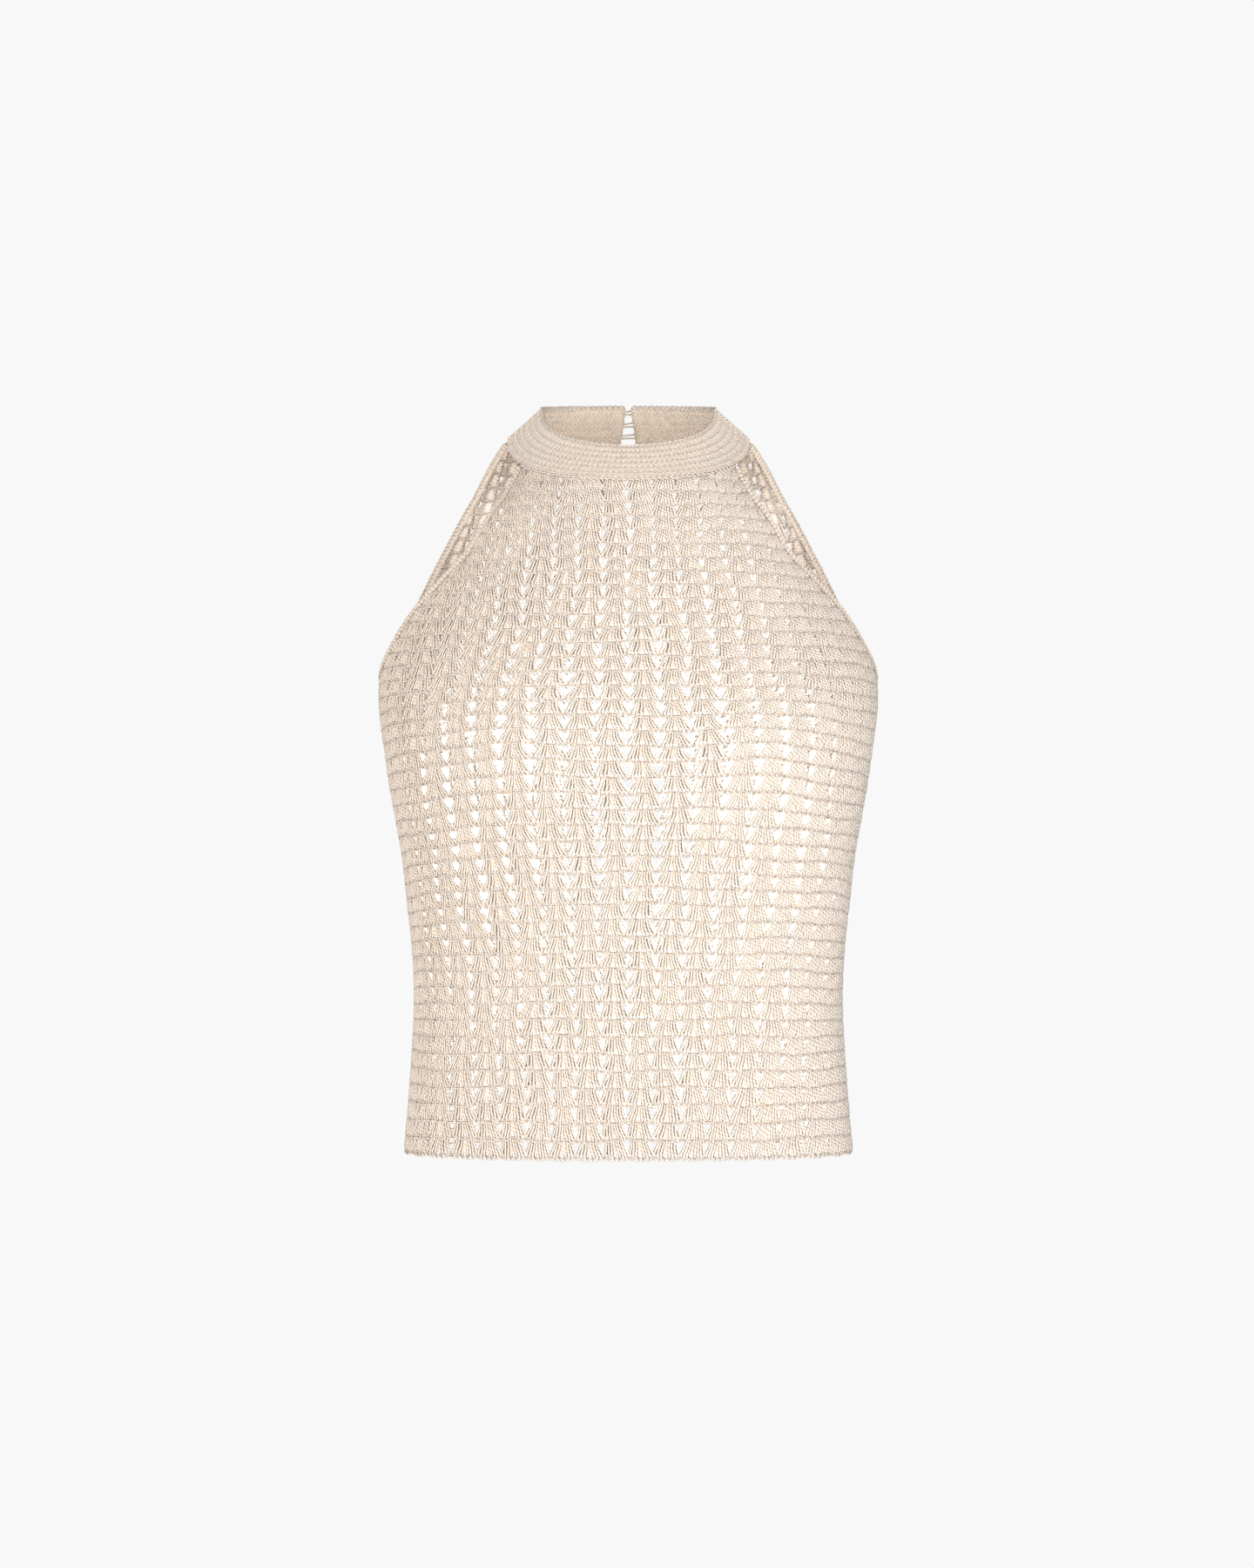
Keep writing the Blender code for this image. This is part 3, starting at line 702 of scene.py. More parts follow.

# %% [markdown]
# ## Collar
#
# The collar is worked round and round in tight single crochet. Each stitch is a
# V of two legs under a short bar, and a small gap is left where the legs meet, in
# which the band's heart shows with painted shade. The imported collar stays as the
# dense heart of the band, and the stitches are laid over both its faces, with a
# braid along the rim and down the two ends.

# %% The collar's surface
COLLAR_WALL = 2.8
COLLAR_HEIGHT = 31.0
END_GAP_TOP, END_GAP_LOW = 2.7, 7.0


def collar_point(whole_turn, rise):
    """Outer face of the collar; rise is 0 at the seam and 1 at the rim."""
    whole_turn, rise = np.broadcast_arrays(whole_turn, rise)
    front = np.abs(whole_turn) <= math.pi / 2
    turn = np.where(front, whole_turn, np.copysign(math.pi - np.abs(whole_turn), whole_turn))
    along = np.maximum(0.0, np.cos(turn))
    seam_front = form_point(FRONT, turn, seam_level(FRONT, turn))
    seam_back = form_point(BACK, turn, seam_level(BACK, turn))
    seam = np.where(front[..., None], seam_front, seam_back)
    rim_y = np.where(front, -RIM_FRONT_DEPTH, RIM_BACK_DEPTH) * np.cos(turn)
    rim_z = np.where(front, RIM_SIDE_LEVEL - RIM_FRONT_DROP * along**DIP_POWER,
                     RIM_SIDE_LEVEL + RIM_BACK_RISE * along)
    rim = np.stack([RIM_HALF_WIDTH * np.sin(turn), rim_y, rim_z], axis=-1)
    return seam + (rim - seam) * rise[..., None]


def collar_axes(whole_turn, rise, face):
    """The band's outer face, or its inner one, and right, up and out from it."""
    step = 0.01
    across = (collar_point(np.clip(whole_turn + step, -math.pi, math.pi), rise)
              - collar_point(np.clip(whole_turn - step, -math.pi, math.pi), rise))
    up = collar_point(whole_turn, rise * 0 + 1.0) - collar_point(whole_turn, rise * 0)
    out = unit(np.cross(across, up))
    point = collar_point(whole_turn, rise)
    if face < 0:
        point, out = point - out * COLLAR_WALL, -out
    right = unit(across) * face
    return point, right, np.cross(out, right), out


# %% Places round the collar, between its two ends
def end_turn(rise):
    """Turn of the collar's end, which stands a small gap from the centre back."""
    gap = END_GAP_LOW + (END_GAP_TOP - END_GAP_LOW) * rise
    reach = collar_point(np.array(math.pi / 2), rise)[..., 0]
    return math.pi - np.arcsin(gap / reach)


turns_round = np.linspace(-math.pi, math.pi, 721)
run_round = run_along(collar_point(turns_round, 0.5))
run_round -= run_round[-1] / 2
half_collar = np.interp(end_turn(0.5), turns_round, run_round)
print("collar: %.0f mm round the middle" % (half_collar * 2))


def turn_round(share, rise):
    """Turn at a share, from -1 at one end of the collar to 1 at the other."""
    turn = np.interp(share * half_collar, run_round, turns_round)
    return turn * end_turn(rise) / end_turn(0.5)


# %% Single crochet stitch
SINGLE_WIDTH, SINGLE_ROWS = 3.6, 6
SINGLE_HEIGHT = COLLAR_HEIGHT / SINGLE_ROWS
LEG_RADIUS, BAR_RADIUS = 0.84, 0.62


def make_single():
    single = Stitch("single")
    for hand in (1, -1):
        single.add([
            (0.35 * hand, -SINGLE_HEIGHT - 0.5, -0.30),
            (0.50 * hand, -3.4, -0.15),
            (1.14 * hand, -2.2, -0.15),
            (1.12 * hand, -0.2, -0.22),
        ], LEG_RADIUS, sides=4)
    # the bar's depths paint shade at its start
    single.add([(-1.9, -0.50, -0.25), (-0.2, 0.10, -0.10), (1.9, -0.50, -0.25)],
               BAR_RADIUS, sides=4, depths=[0.6, 0.0, 0.0])
    return single.finish()


single = make_single()


def lay_collar(name, face):
    """Single crochet over one face of the band."""
    count = int(2 * half_collar / SINGLE_WIDTH)
    columns, rows = (part.ravel() for part in np.meshgrid(
        np.arange(count) + 0.5, np.arange(SINGLE_ROWS) * 1.0))
    x, y, z = single.centres.T
    jitter = draws.normal(0, 0.10, (3, len(columns), 1))
    column = columns[:, None] + (face * x[None, :] + jitter[0]) / SINGLE_WIDTH
    row = rows[:, None] - (y[None, :] + jitter[1]) / SINGLE_HEIGHT
    rise = np.clip(1 - row / SINGLE_ROWS, 0, 1)
    share = np.clip(2 * column / count - 1, -1, 1)
    offsets = np.broadcast_to(single.offsets, rise.shape + (3,))
    lift = z[None, :] + jitter[2]
    points = raised(collar_axes(turn_round(share, rise), rise, face), offsets, lift)
    return repeat(single, name, points)


collar_outside = lay_collar("collar_outside", 1)
collar_inside = lay_collar("collar_inside", -1)

# %% [markdown]
# ## Edges and seams
#
# The armholes and the keyhole are bound with a round of single crochet that
# wraps the cut edge, so from either side it reads as a firm rounded cord. The
# collar's rim and ends, the neck seam and the side seams are finished with a
# plain braid. Both are stitches laid along a path in place of over a surface.

# %% Stitches along a path
EDGE_PITCH = 3.1


def along_path(name, stitch, pitch, points, outs, besides):
    """Lays a stitch along a line of points; besides says which way is up."""
    run = run_along(points)
    count = max(1, int(round(run[-1] / pitch)))
    scale = run[-1] / count / pitch
    ahead = np.gradient(points, run, axis=0)
    hand = np.sign(np.sum(np.cross(ahead, besides) * outs, axis=1).mean())
    if hand < 0:
        points, outs, besides, ahead = points[::-1], outs[::-1], besides[::-1], -ahead[::-1]
        run = run[-1] - run[::-1]
    x, y, z = stitch.centres.T
    place = ((np.arange(count) + 0.5)[:, None] * pitch + x[None, :]) * scale
    place = np.clip(place, 0, run[-1])

    def read_along(values):
        return np.stack([np.interp(place, run, values[:, axis]) for axis in range(3)], axis=-1)

    right = unit(read_along(ahead))
    out = read_along(outs)
    out = unit(out - right * np.sum(out * right, axis=-1, keepdims=True))
    up = np.cross(out, right)
    offset = stitch.offsets.T
    jitter = draws.normal(0, 0.07, (2, count, 1))
    carried = (read_along(points) + right * offset[0:1][..., None]
               + up * (y + offset[1] + jitter[0])[..., None]
               + out * (z + offset[2] + jitter[1])[..., None])
    return repeat(stitch, name, carried)


# %% The stitches of the bindings and the braids
def make_binding():
    """Single crochet over an edge: a wrap, a link on top of it, and a core."""
    binding = Stitch("binding")
    # Depths paint shade at both ends of the wrap and at the start of the link.
    binding.add([(-1.0, -0.9, 0.00), (-0.5, 1.5, 0.30), (0.1, 3.4, -0.15), (0.3, 3.6, -1.6),
                 (0.6, 1.8, -2.7), (1.0, -0.8, -2.4)], 0.86, sides=4,
                depths=[1.2, 0.0, 0.3, 0.0, 0.0, 1.0])
    binding.add([(-2.0, 2.1, 0.35), (-0.2, 3.2, 0.50), (1.7, 2.8, 0.15)], 0.60, sides=4,
                depths=[1.3, 0.0, 0.2])
    binding.add([(-1.75, 1.7, -1.2), (1.75, 1.7, -1.2)], 1.75, sides=6, taper=1.0)
    return binding.finish()


def make_link():
    """One link of a braid: two strands in a V."""
    link = Stitch("link")
    for hand in (1, -1):
        link.add([(-2.1, 0.10 * hand, 0.1), (-0.4, 0.95 * hand, 0.55), (2.0, 0.40 * hand, 0.3)],
                 0.66, sides=4)
    return link.finish()


binding, link = make_binding(), make_link()


# %% Armhole bindings
BINDING_STOP = 1.6           # the binding ends this far under the collar's seam
JUST_ABOVE = 1e-6
EDGE_TURN = {FRONT: math.radians(FRONT_ARMHOLE[-1].turn),
             BACK: math.radians(BACK_ARMHOLE[-1].turn)}


def armhole_line(hand):
    """Points, outward directions and cloth-to-edge directions of an armhole."""
    parts = []
    for side in (FRONT, BACK):
        top_level = float(seam_level(side, EDGE_TURN[side])) - BINDING_STOP
        height = UNDERARM + (top_level - UNDERARM) * np.linspace(0, 1, 120)**1.8
        turn = edge_turn(side, height + JUST_ABOVE)
        point = form_point(side, hand * turn, height)
        inner = form_point(side, hand * (turn - 0.02), height)
        out = form_normal(side, hand * turn, height)
        away = unit(point - inner)
        away[0] = (0, 0, 1)
        parts.append([point, out, away])
    front, back = parts
    return [np.concatenate([a[::-1], b[1:]]) for a, b in zip(front, back)]


def bind(name, points, outs, beside):
    return along_path(name, binding, EDGE_PITCH, points + beside * EDGING_GAP, outs, beside)


edges = {}
for hand, name in ((1.0, "armhole_binding_left"), (-1.0, "armhole_binding_right")):
    points, outs, away = armhole_line(hand)
    beside = np.cross(unit(np.gradient(points, axis=0)), outs)
    beside *= np.sign(np.sum(beside * away, axis=1, keepdims=True))
    edges[name] = bind(name, points, outs, beside)


# %% Keyhole binding
def keyhole_line():
    """Down one side of the keyhole, round its foot and up the other side."""
    centre = KEYHOLE_DEPTH - KEYHOLE_RADIUS
    radius = KEYHOLE_RADIUS + EDGING_WIDTH + EDGING_GAP
    drops = np.linspace(0, centre, 40)[:-1]
    angles = np.radians(np.linspace(90, 0, 30))
    wide = np.concatenate([keyhole_half_width(drops), radius * np.sin(angles)])
    deep = np.concatenate([drops, centre + radius * np.cos(angles)])
    across = np.concatenate([-wide, wide[-2::-1]])
    height = float(seam_level(BACK, 0.0)) - TUCK - np.concatenate([deep, deep[-2::-1]])
    turns = np.linspace(0, 0.5, 200)
    reach = np.array([np.interp(abs(a), form_point(BACK, turns, h + 0 * turns)[:, 0], turns)
                      for a, h in zip(across, height)])
    turn = np.copysign(reach, across)
    return form_point(BACK, turn, height), form_normal(BACK, turn, height)


points, outs = keyhole_line()
beside = np.cross(unit(np.gradient(points, axis=0)), outs)
beside *= np.sign(np.sum(beside * (points.mean(axis=0) - points), axis=1).mean())
edges["keyhole_binding"] = bind("keyhole_binding", points, outs, beside)

# %% Braids on the collar's rim and ends
LINK_PITCH = 4.0


def braid(name, points, out, beside, depths):
    """Rows of links along a line: a depth, and the face that each row shows."""
    return [along_path(name, link, LINK_PITCH, points - out * depth, out * face, beside)
            for depth, face in depths]


def joined(name, parts):
    """Several repeated stitches as one object."""
    work = bmesh.new()
    for part in parts:
        work.from_mesh(part.data)
    work.to_mesh(parts[0].data)
    work.free()
    parts[0].name = parts[0].data.name = name
    for part in parts[1:]:
        bpy.data.objects.remove(part)
    return parts[0]


rim_turns = turn_round(np.linspace(-1, 1, 400), np.ones(400))
rim_point, _, rim_up, rim_out = collar_axes(rim_turns, np.ones(400), 1)
trims = [along_path("rim", link, LINK_PITCH, rim_point + rim_out * depth, rim_up, rim_out)
         for depth in (0.1, -1.5, -2.9)]
for hand in (-1, 1):
    rises = np.linspace(0.01, 0.99, 60)
    point, right, up, out = collar_axes(hand * end_turn(rises), rises, 1)
    trims += [along_path("end", link, LINK_PITCH, point + out * depth, right * hand, out)
              for depth in (-0.3, -2.5)]
collar_trim = joined("collar_trim", trims)

# %% Braids on the side seams and the neck seam
BACK_OPENING = 0.21          # turn from the centre back where the neck seam stops
seams = []
for hand in (-1, 1):
    heights = np.linspace(HEM_LEVEL + 1.5, UNDERARM - 1.0, 200)
    point = form_point(FRONT, hand * (math.pi / 2 - 1e-4) + 0 * heights, heights)
    out, beside = np.zeros_like(point), np.zeros_like(point)
    out[:, 0], beside[:, 1] = hand, 1
    seams += braid("seam", point, out, beside, ((0.7, 1), (1.9, -1)))
side_seams = joined("side_seams", seams)

neck = []
for side in (FRONT, BACK):
    end = EDGE_TURN[side]
    for first, last in (((-end, end),) if side == FRONT else
                        ((-end, -BACK_OPENING), (BACK_OPENING, end))):
        turn = np.linspace(first, last, 240)
        point, _, up, out = cloth_axes(side, turn, seam_level(side, turn) - 0.9)
        neck += braid("neck", point, out, up, ((0.4, 1), (2.0, -1)))
neck_seam = joined("neck_seam", neck)

# %% [markdown]
# ## Buttons and loops
#
# Three small shank buttons close the collar at the centre back, and each is held
# by a loop of two yarns twisted together. The button is turned on a lathe, which
# in Blender is a spin of half its outline. The loop is two helices along one
# path, so the twist is real and shows even on so thin a cord.

# %% Places on the band at the centre back
BUTTON_DROPS = [4.2, 13.0, 21.4]
BUTTON_INSET, SEAM_GAP = 5.6, 0.3
LOOP_SPREAD_AT_END, LOOP_SPREAD_AT_BUTTON, LOOP_CORD_RADIUS = 1.0, 2.0, 0.7
to_frame = Matrix.Translation((0, 0, form_z)) @ Matrix.Scale(MM, 4)


def band_place(across, drop):
    """Point and outward direction of the collar's face near the centre back."""
    rise = np.array(1.0 - drop / COLLAR_HEIGHT)
    reach = collar_point(np.array(math.pi / 2), rise)[0]
    turn = np.array(math.copysign(math.pi - math.asin(abs(across) / reach), across))
    point, _, up, out = collar_axes(turn, rise, 1)
    return Vector(point), Vector(out), Vector(up)


def end_gap(drop):
    """Half the opening between the collar's ends, at a drop below the rim."""
    return END_GAP_TOP + (END_GAP_LOW - END_GAP_TOP) * drop / COLLAR_HEIGHT


# %% A button, turned on a lathe
BUTTON_OUTLINE = [          # radius and rise of half a section, in millimetres
    (0.0, 0.0), (1.0, 0.0), (1.0, 2.3), (2.9, 2.3), (3.35, 2.5), (3.6, 3.0), (3.6, 3.6),
    (3.4, 4.1), (3.0, 4.35), (2.6, 4.3), (2.2, 4.05), (1.2, 4.15), (0.0, 4.3),
]


def make_button(name, drop):
    lathe = bmesh.new()
    line = [lathe.verts.new(Vector((radius, 0, rise))) for radius, rise in BUTTON_OUTLINE]
    outline = [lathe.edges.new(pair) for pair in zip(line, line[1:])]
    bmesh.ops.spin(lathe, geom=line + outline, cent=(0, 0, 0), axis=(0, 0, 1),
                   angle=math.tau, steps=48, use_merge=True)
    bmesh.ops.remove_doubles(lathe, verts=lathe.verts[:], dist=0.001)
    bmesh.ops.recalc_face_normals(lathe, faces=lathe.faces[:])
    point, out, _ = band_place(end_gap(drop) + BUTTON_INSET, drop)
    turned = Vector((0, 0, 1)).rotation_difference(out).to_matrix().to_4x4()
    lathe.transform(Matrix.Translation(point + out * SEAM_GAP) @ turned)
    lathe.transform(to_frame)
    data = bpy.data.meshes.new(name)
    lathe.to_mesh(data)
    lathe.free()
    data.shade_smooth()
    return placed(name, data)


# %% A loop of two twisted yarns
def loop_route(drop):
    """Out of one end, over the gap, round the stem and back, as a smooth line."""
    gap = end_gap(drop)
    centre = gap + BUTTON_INSET
    riding = LOOP_CORD_RADIUS + SEAM_GAP
    low, over = LOOP_SPREAD_AT_END, riding * 1.1
    leg = [
        (-gap + 2 * SEAM_GAP, low, -COLLAR_WALL / 2),
        (-gap * 0.35, low, -COLLAR_WALL * 0.25),
        (gap * 0.25, low * 1.2, riding * 0.55),
        (gap - 0.4, low * 1.5, riding * 1.15),
        (centre - BUTTON_INSET * 0.4, LOOP_SPREAD_AT_BUTTON * 0.97, over),
    ]
    bend = [(centre + LOOP_SPREAD_AT_BUTTON * math.cos(math.radians(angle)),
             LOOP_SPREAD_AT_BUTTON * math.sin(math.radians(angle)), over)
            for angle in range(90, -91, -30)]
    back = [(across, -wide, lift) for across, wide, lift in reversed(leg)]
    route = []
    for across, wide, lift in leg + bend + back:
        point, out, _ = band_place(across, drop + wide)
        route.append(point + out * lift)
    route = np.array(route)
    run = run_along(route)
    fine = np.linspace(0, run[-1], 70)
    line = np.stack([np.interp(fine, run, route[:, axis]) for axis in range(3)], axis=1)
    for _ in range(3):
        line[1:-1] = (line[:-2] + 2 * line[1:-1] + line[2:]) / 4
    return line, fine


TWIST_PITCH, PLY_RADIUS, PLY_OFFSET = 3.4, 0.42, 0.34


def make_loop(name, drop):
    """Two helices of yarn round one route."""
    line, fine = loop_route(drop)
    _, out, _ = band_place(end_gap(drop), drop)
    ahead = unit(np.gradient(line, axis=0))
    first = unit(np.cross(ahead, np.array(out)))
    second = np.cross(ahead, first)
    cord = Stitch(name)
    for start in (0, math.pi):
        angle = (start + fine * math.tau / TWIST_PITCH)[:, None]
        helix = line + PLY_OFFSET * (first * np.cos(angle) + second * np.sin(angle))
        cord.add([Vector(point) for point in helix], PLY_RADIUS, sides=8)
    cord.finish()
    cord.mesh.transform(to_frame)
    cord.mesh.shade_smooth()
    return placed(name, cord.mesh)


buttons, loops = [], []
for number, drop in enumerate(BUTTON_DROPS, start=1):
    buttons.append(make_button("shank_button_%d" % number, drop))
    loops.append(make_loop("twisted_loop_%d" % number, drop))
print("buttons:", len(buttons), "loops:", len(loops))

# %% [markdown]
# ## Materials
#
# Cotton yarn is matt, warm white, and plied: two or three thin yarns twisted
# together, whose grooves run round the strand as a slant. The map of distance
# along and round each strand draws that slant as a bump, and paints shade into
# the grooves and onto the strand's sides where neighbours meet. The depth layer
# paints shade at the strands' deep ends, and small noise specks are painted darker
# as shade of gaps. Wide soft noise varies the tint from place to place, because
# natural cotton is not one colour.

# %% A socket that does maths
class Value:
    """A number socket in a node tree, with the operators that are used here."""

    def __init__(self, tree, socket):
        self.tree, self.socket = tree, socket

    def math(self, operation, first, second):
        made = self.tree.node("ShaderNodeMath", {"operation": operation}, {0: first, 1: second})
        return Value(self.tree, made.outputs[0])

    def __add__(self, other):
        return self.math("ADD", self, other)

    def __radd__(self, other):
        return self.math("ADD", other, self)

    def __sub__(self, other):
        return self.math("SUBTRACT", self, other)

    def __rsub__(self, other):
        return self.math("SUBTRACT", other, self)

    def __mul__(self, other):
        return self.math("MULTIPLY", self, other)

    def __rmul__(self, other):
        return self.math("MULTIPLY", other, self)

    def sine(self):
        return self.math("SINE", self, 0.0)

    def cosine(self):
        return self.math("COSINE", self, 0.0)


class Finish:
    """A material and its node tree."""

    def __init__(self, name, roughness, color):
        self.material = bpy.data.materials.new(name)
        self.material.use_nodes = True
        self.material.diffuse_color = (*color, 1.0)
        self.tree = self.material.node_tree
        self.shader = self.tree.nodes["Principled BSDF"]
        self.shade({"Roughness": roughness, "Base Color": color})

    def node(self, kind, settings=(), sockets=()):
        made = self.tree.nodes.new(kind)
        for name, value in dict(settings).items():
            setattr(made, name, value)
        for name, value in dict(sockets).items():
            self.feed(made.inputs[name], value)
        return made

    def feed(self, socket, value):
        if isinstance(value, Value):
            value = value.socket
        if isinstance(value, bpy.types.NodeSocket):
            self.tree.links.new(value, socket)
        elif socket.type == "RGBA":
            socket.default_value = (*value, 1.0)
        else:
            socket.default_value = value

    def value(self, socket):
        return Value(self, socket)

    def shade(self, sockets):
        for name, value in sockets.items():
            self.feed(self.shader.inputs[name], value)

    def place(self):
        return self.node("ShaderNodeTexCoord").outputs["Object"]

    def noise(self, place, scale, detail, distortion=0.0):
        made = self.node("ShaderNodeTexNoise", (), {"Vector": place, "Scale": scale,
                                                    "Detail": detail, "Distortion": distortion})
        return self.value(made.outputs["Fac"])

    def ramp(self, value, low, high, top=1.0, kind="LINEAR"):
        """Goes from 0 to top while the value goes from low to high."""
        made = self.node("ShaderNodeMapRange", {"interpolation_type": kind},
                         {"Value": value, "From Min": low, "From Max": high, "To Max": top})
        return self.value(made.outputs[0])

    def mix(self, factor, first, second):
        made = self.node("ShaderNodeMix", {"data_type": "RGBA"}, {0: factor, 6: first, 7: second})
        return made.outputs[2]

    def bump(self, height, strength, distance):
        made = self.node("ShaderNodeBump", (), {"Strength": strength, "Distance": distance,
                                                "Height": height})
        self.shade({"Normal": made.outputs[0]})


# %% Cotton yarn
COTTON = (0.84, 0.757, 0.675)
# painted shade colour of the grooves, the strand sides and the gaps
COTTON_GROOVE_SHADE = (0.62, 0.505, 0.40)
# painted shade colour of the strands' deep ends
COTTON_DEEP_SHADE = (0.52, 0.41, 0.315)
COTTON_WARM = (0.845, 0.742, 0.65)
PLY_PITCH = 2.5              # millimetres along the strand between two grooves


def cotton_finish():
    """Plied yarn: slanted grooves, painted shade in the grooves, on the sides, at the feet and in
    small gaps, and a wide tint.
    """
    made = Finish("cotton_yarn", 0.92, COTTON)
    yarn_map = made.node("ShaderNodeUVMap", {"uv_map": YARN})
    split = made.node("ShaderNodeSeparateXYZ", (), {0: yarn_map.outputs["UV"]})
    along, around = (made.value(split.outputs[axis]) for axis in ("X", "Y"))
    place = made.place()
    fibre, tint = made.noise(place, 1500.0, 2.0), made.noise(place, 34.0, 3.0)
    turns = (along * (math.tau / PLY_PITCH) + around * math.tau + fibre * 1.6)
    ply = turns.sine() * 0.5 + 0.5
    # painted shade in the ply grooves
    ply_groove_shade = made.ramp(ply, 0.40, 0.05, kind="SMOOTHSTEP")
    # painted shade on the strand's sides, where neighbouring strands meet
    facing = (around * math.tau).cosine()
    crevice_shade = made.ramp(facing * facing, 0.50, 0.0, top=0.55, kind="SMOOTHSTEP")
    # painted shade at the strands' deep ends, read from the depth layer
    deep = made.value(made.node("ShaderNodeAttribute", {"attribute_name": SHADE_DEPTH}).outputs["Fac"])
    deep = deep * deep
    # small noise specks painted darker, as shade in gaps of the yarn
    gap = made.ramp(made.noise(place, 560.0, 1.0), 0.60, 0.72, top=0.6, kind="SMOOTHSTEP")
    # all the painted shade together, mixed toward the shade colour
    shade_amount = ply_groove_shade * 0.7 + crevice_shade + gap
    body = made.mix(made.ramp(tint, 0.35, 0.68), COTTON, COTTON_WARM)
    groove_shaded = made.mix(shade_amount, body, COTTON_GROOVE_SHADE)
    # the deep ends are mixed toward the painted shade colour
    made.shade({"Base Color": made.mix(deep * deep, groove_shaded, COTTON_DEEP_SHADE)})
    made.bump(ply + fibre * 0.35, 0.85, 0.00045)
    made.shade({"Sheen Weight": 0.18, "Sheen Roughness": 0.5, "Specular IOR Level": 0.2})
    return made.material


cotton_yarn = cotton_finish()
print("cotton yarn:", len(cotton_yarn.node_tree.nodes), "nodes")

# %% Heart of the band, and the resin of the buttons
def packed_cotton_shaded():
    """Close stitches seen deep between the legs of the band's own stitches, with painted shade
    between the knots.
    """
    made = Finish("packed_cotton_shaded", 0.95, COTTON)
    knots = made.node("ShaderNodeTexVoronoi", (), {"Vector": made.place(), "Scale": 420.0})
    # painted shade: darker between the knots, away from their centres
    depth = made.ramp(knots.outputs["Distance"], 0.0, 0.9)
    made.shade({"Base Color": made.mix(depth, (0.80, 0.69, 0.58), (0.62, 0.50, 0.39))})
    made.bump(depth, 0.6, 0.0005)
    made.shade({"Sheen Weight": 0.18})
    return made.material


def pearl_resin():
    """Polished cream resin with faint clouds in it."""
    made = Finish("button_resin", 0.28, (0.80, 0.72, 0.60))
    haze = made.noise(made.place(), 260.0, 4.0, distortion=1.2)
    made.shade({"Base Color": made.mix(haze, (0.84, 0.77, 0.66), (0.72, 0.61, 0.48)),
                "Roughness": 0.20 + haze * 0.16})
    made.bump(haze, 0.1, 0.0002)
    made.shade({"Coat Weight": 0.3, "Coat Roughness": 0.12})
    return made.material


band_core, button_resin = packed_cotton_shaded(), pearl_resin()
print("materials:", cotton_yarn.name, band_core.name, button_resin.name)

# %% Dress every piece, and let it ride
cotton_pieces = [*panels.values(), collar_outside, collar_inside, collar_trim, neck_seam,
                 side_seams, *edges.values(), *loops]
for piece in cotton_pieces:
    piece.data.materials.clear()
    piece.data.materials.append(cotton_yarn)
    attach(piece, "root")

for number, (button, loop) in enumerate(zip(buttons, loops), start=1):
    button.data.materials.append(button_resin)
    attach(button, "root")
    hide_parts("button_%d" % number)
    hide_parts("button_loop_%d" % number)
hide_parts("keyhole_edging")
print("dressed:", len(cotton_pieces), "cotton pieces,", len(buttons), "buttons")
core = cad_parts["collar"]
core.data.materials.clear()
core.data.materials.append(band_core)
for name in ("left", "right"):
    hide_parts("armhole_edging_" + name)
for name in ("front", "back"):
    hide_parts(name + "_panel")

# %% [markdown]
# ## Light, background and floor
#
# Pale cloth is lit almost flat: one big soft light straight in front, at the
# height of the garment, so the chest, waist and hem are equally bright, with a
# weaker fill on each side. One light behind shows the back. The background is a
# plain pale grey. Through the holes a viewer sees the inside of the back, which
# would be dim, so small lights inside the top face it: two toward the back, and
# a faint one toward the strip by each armhole.

# %% Surroundings
BACKDROP, SKY_STRENGTH = 0.939, 0.60
world = bpy.data.worlds.new("studio")
world.use_nodes = True
bpy.context.scene.world = world
sky = world.node_tree
seen = sky.nodes.new("ShaderNodeLightPath")
plain = sky.nodes["Background"]
plain.inputs["Color"].default_value = (1.0, 1.0, 1.0, 1.0)
plain.inputs["Strength"].default_value = SKY_STRENGTH
backdrop = sky.nodes.new("ShaderNodeBackground")
backdrop.inputs["Color"].default_value = (BACKDROP, BACKDROP, BACKDROP, 1.0)
choose = sky.nodes.new("ShaderNodeMixShader")
sky.links.new(seen.outputs["Is Camera Ray"], choose.inputs[0])
sky.links.new(plain.outputs[0], choose.inputs[1])
sky.links.new(backdrop.outputs[0], choose.inputs[2])
sky.links.new(choose.outputs[0], sky.nodes["World Output"].inputs["Surface"])
bpy.context.scene.view_settings.view_transform = "Standard"
bpy.context.scene.view_settings.look = "None"
print("backdrop", BACKDROP, "sky", SKY_STRENGTH)


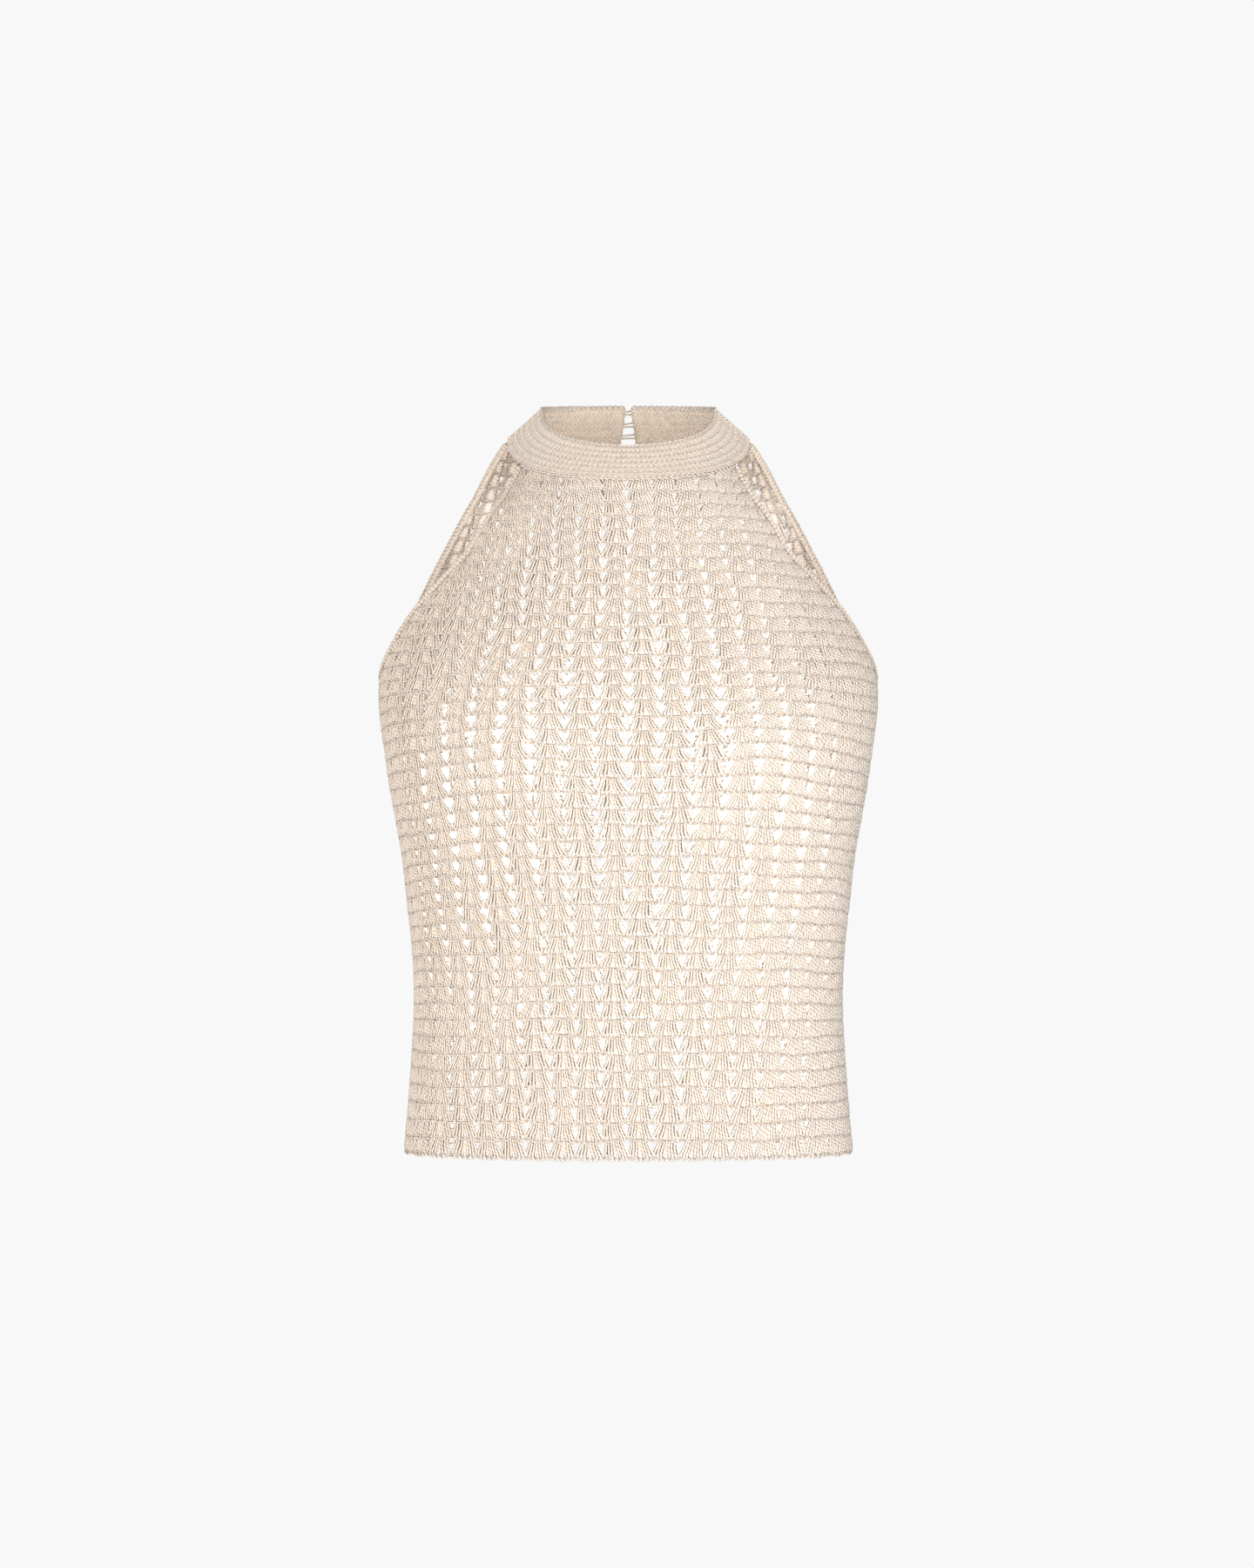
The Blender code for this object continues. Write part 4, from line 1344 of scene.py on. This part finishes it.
# %% Lights
def soft_light(name, place, toward, width, height, power, spread=180.0, color=(1, 1, 1)):
    data = bpy.data.lights.new(name, "AREA")
    data.shape = "RECTANGLE"
    data.size, data.size_y = width, height
    data.energy = power
    data.color = color
    data.spread = math.radians(spread)
    lamp = placed(name, data)
    lamp.location = place
    lamp.rotation_euler = (Vector(toward) - Vector(place)).to_track_quat("-Z", "Y").to_euler()
    lamp.visible_camera = False
    print("%s: %.3f W" % (name, power))


middle = hem_z + VIEW_LEVEL
soft_light("front_light", (-0.05, -2.6, middle - 0.06), (0, 0, middle - 0.03), 1.6, 1.5, 44.0)
soft_light("front_fill", (1.2, -1.9, middle - 0.2), (0, 0, middle - 0.1), 0.8, 1.2, 14.0)
soft_light("left_fill", (-1.3, -1.9, middle - 0.2), (0, 0, middle - 0.1), 0.8, 1.2, 9.0)
soft_light("back_light", (0.05, 2.6, middle + 0.1), (0, 0, middle), 1.6, 1.5, 48.0)

HOLE_LIGHT = (0.84, 0.92, 1.0)   # cool, so that warm cotton behind a hole reads white
body, chest, shoulder = hem_z + 0.165, hem_z + 0.385, hem_z + 0.42
soft_light("hole_light", (0, -0.035, body), (0, 1, body), 0.27, 0.33, 1.1, 100.0, HOLE_LIGHT)
soft_light("chest_hole_light", (0, 0.0, chest), (0, 1, chest - 0.025), 0.18, 0.10, 0.25, 85.0,
           HOLE_LIGHT)
for hand in (-1, 1):
    soft_light("shoulder_light", (hand * 0.02, 0.0, shoulder), (hand * 0.13, 0.05, shoulder),
               0.05, 0.09, 0.007, 80.0, HOLE_LIGHT)

# %% Floor
FLOOR_LEVEL, FLOOR_RADIUS = -1.35, 2.2
floor_mesh = bmesh.new()
bmesh.ops.create_circle(floor_mesh, cap_ends=True, segments=96, radius=FLOOR_RADIUS)
floor_data = bpy.data.meshes.new("floor")
floor_mesh.to_mesh(floor_data)
floor_mesh.free()
floor_data.transform(Matrix.Translation((0, 0, FLOOR_LEVEL)))
floor = placed("floor", floor_data)
floor_data.materials.append(Finish("pale_floor", 0.8, (0.86, 0.86, 0.86)).material)
print("floor at z = %.2f" % FLOOR_LEVEL)
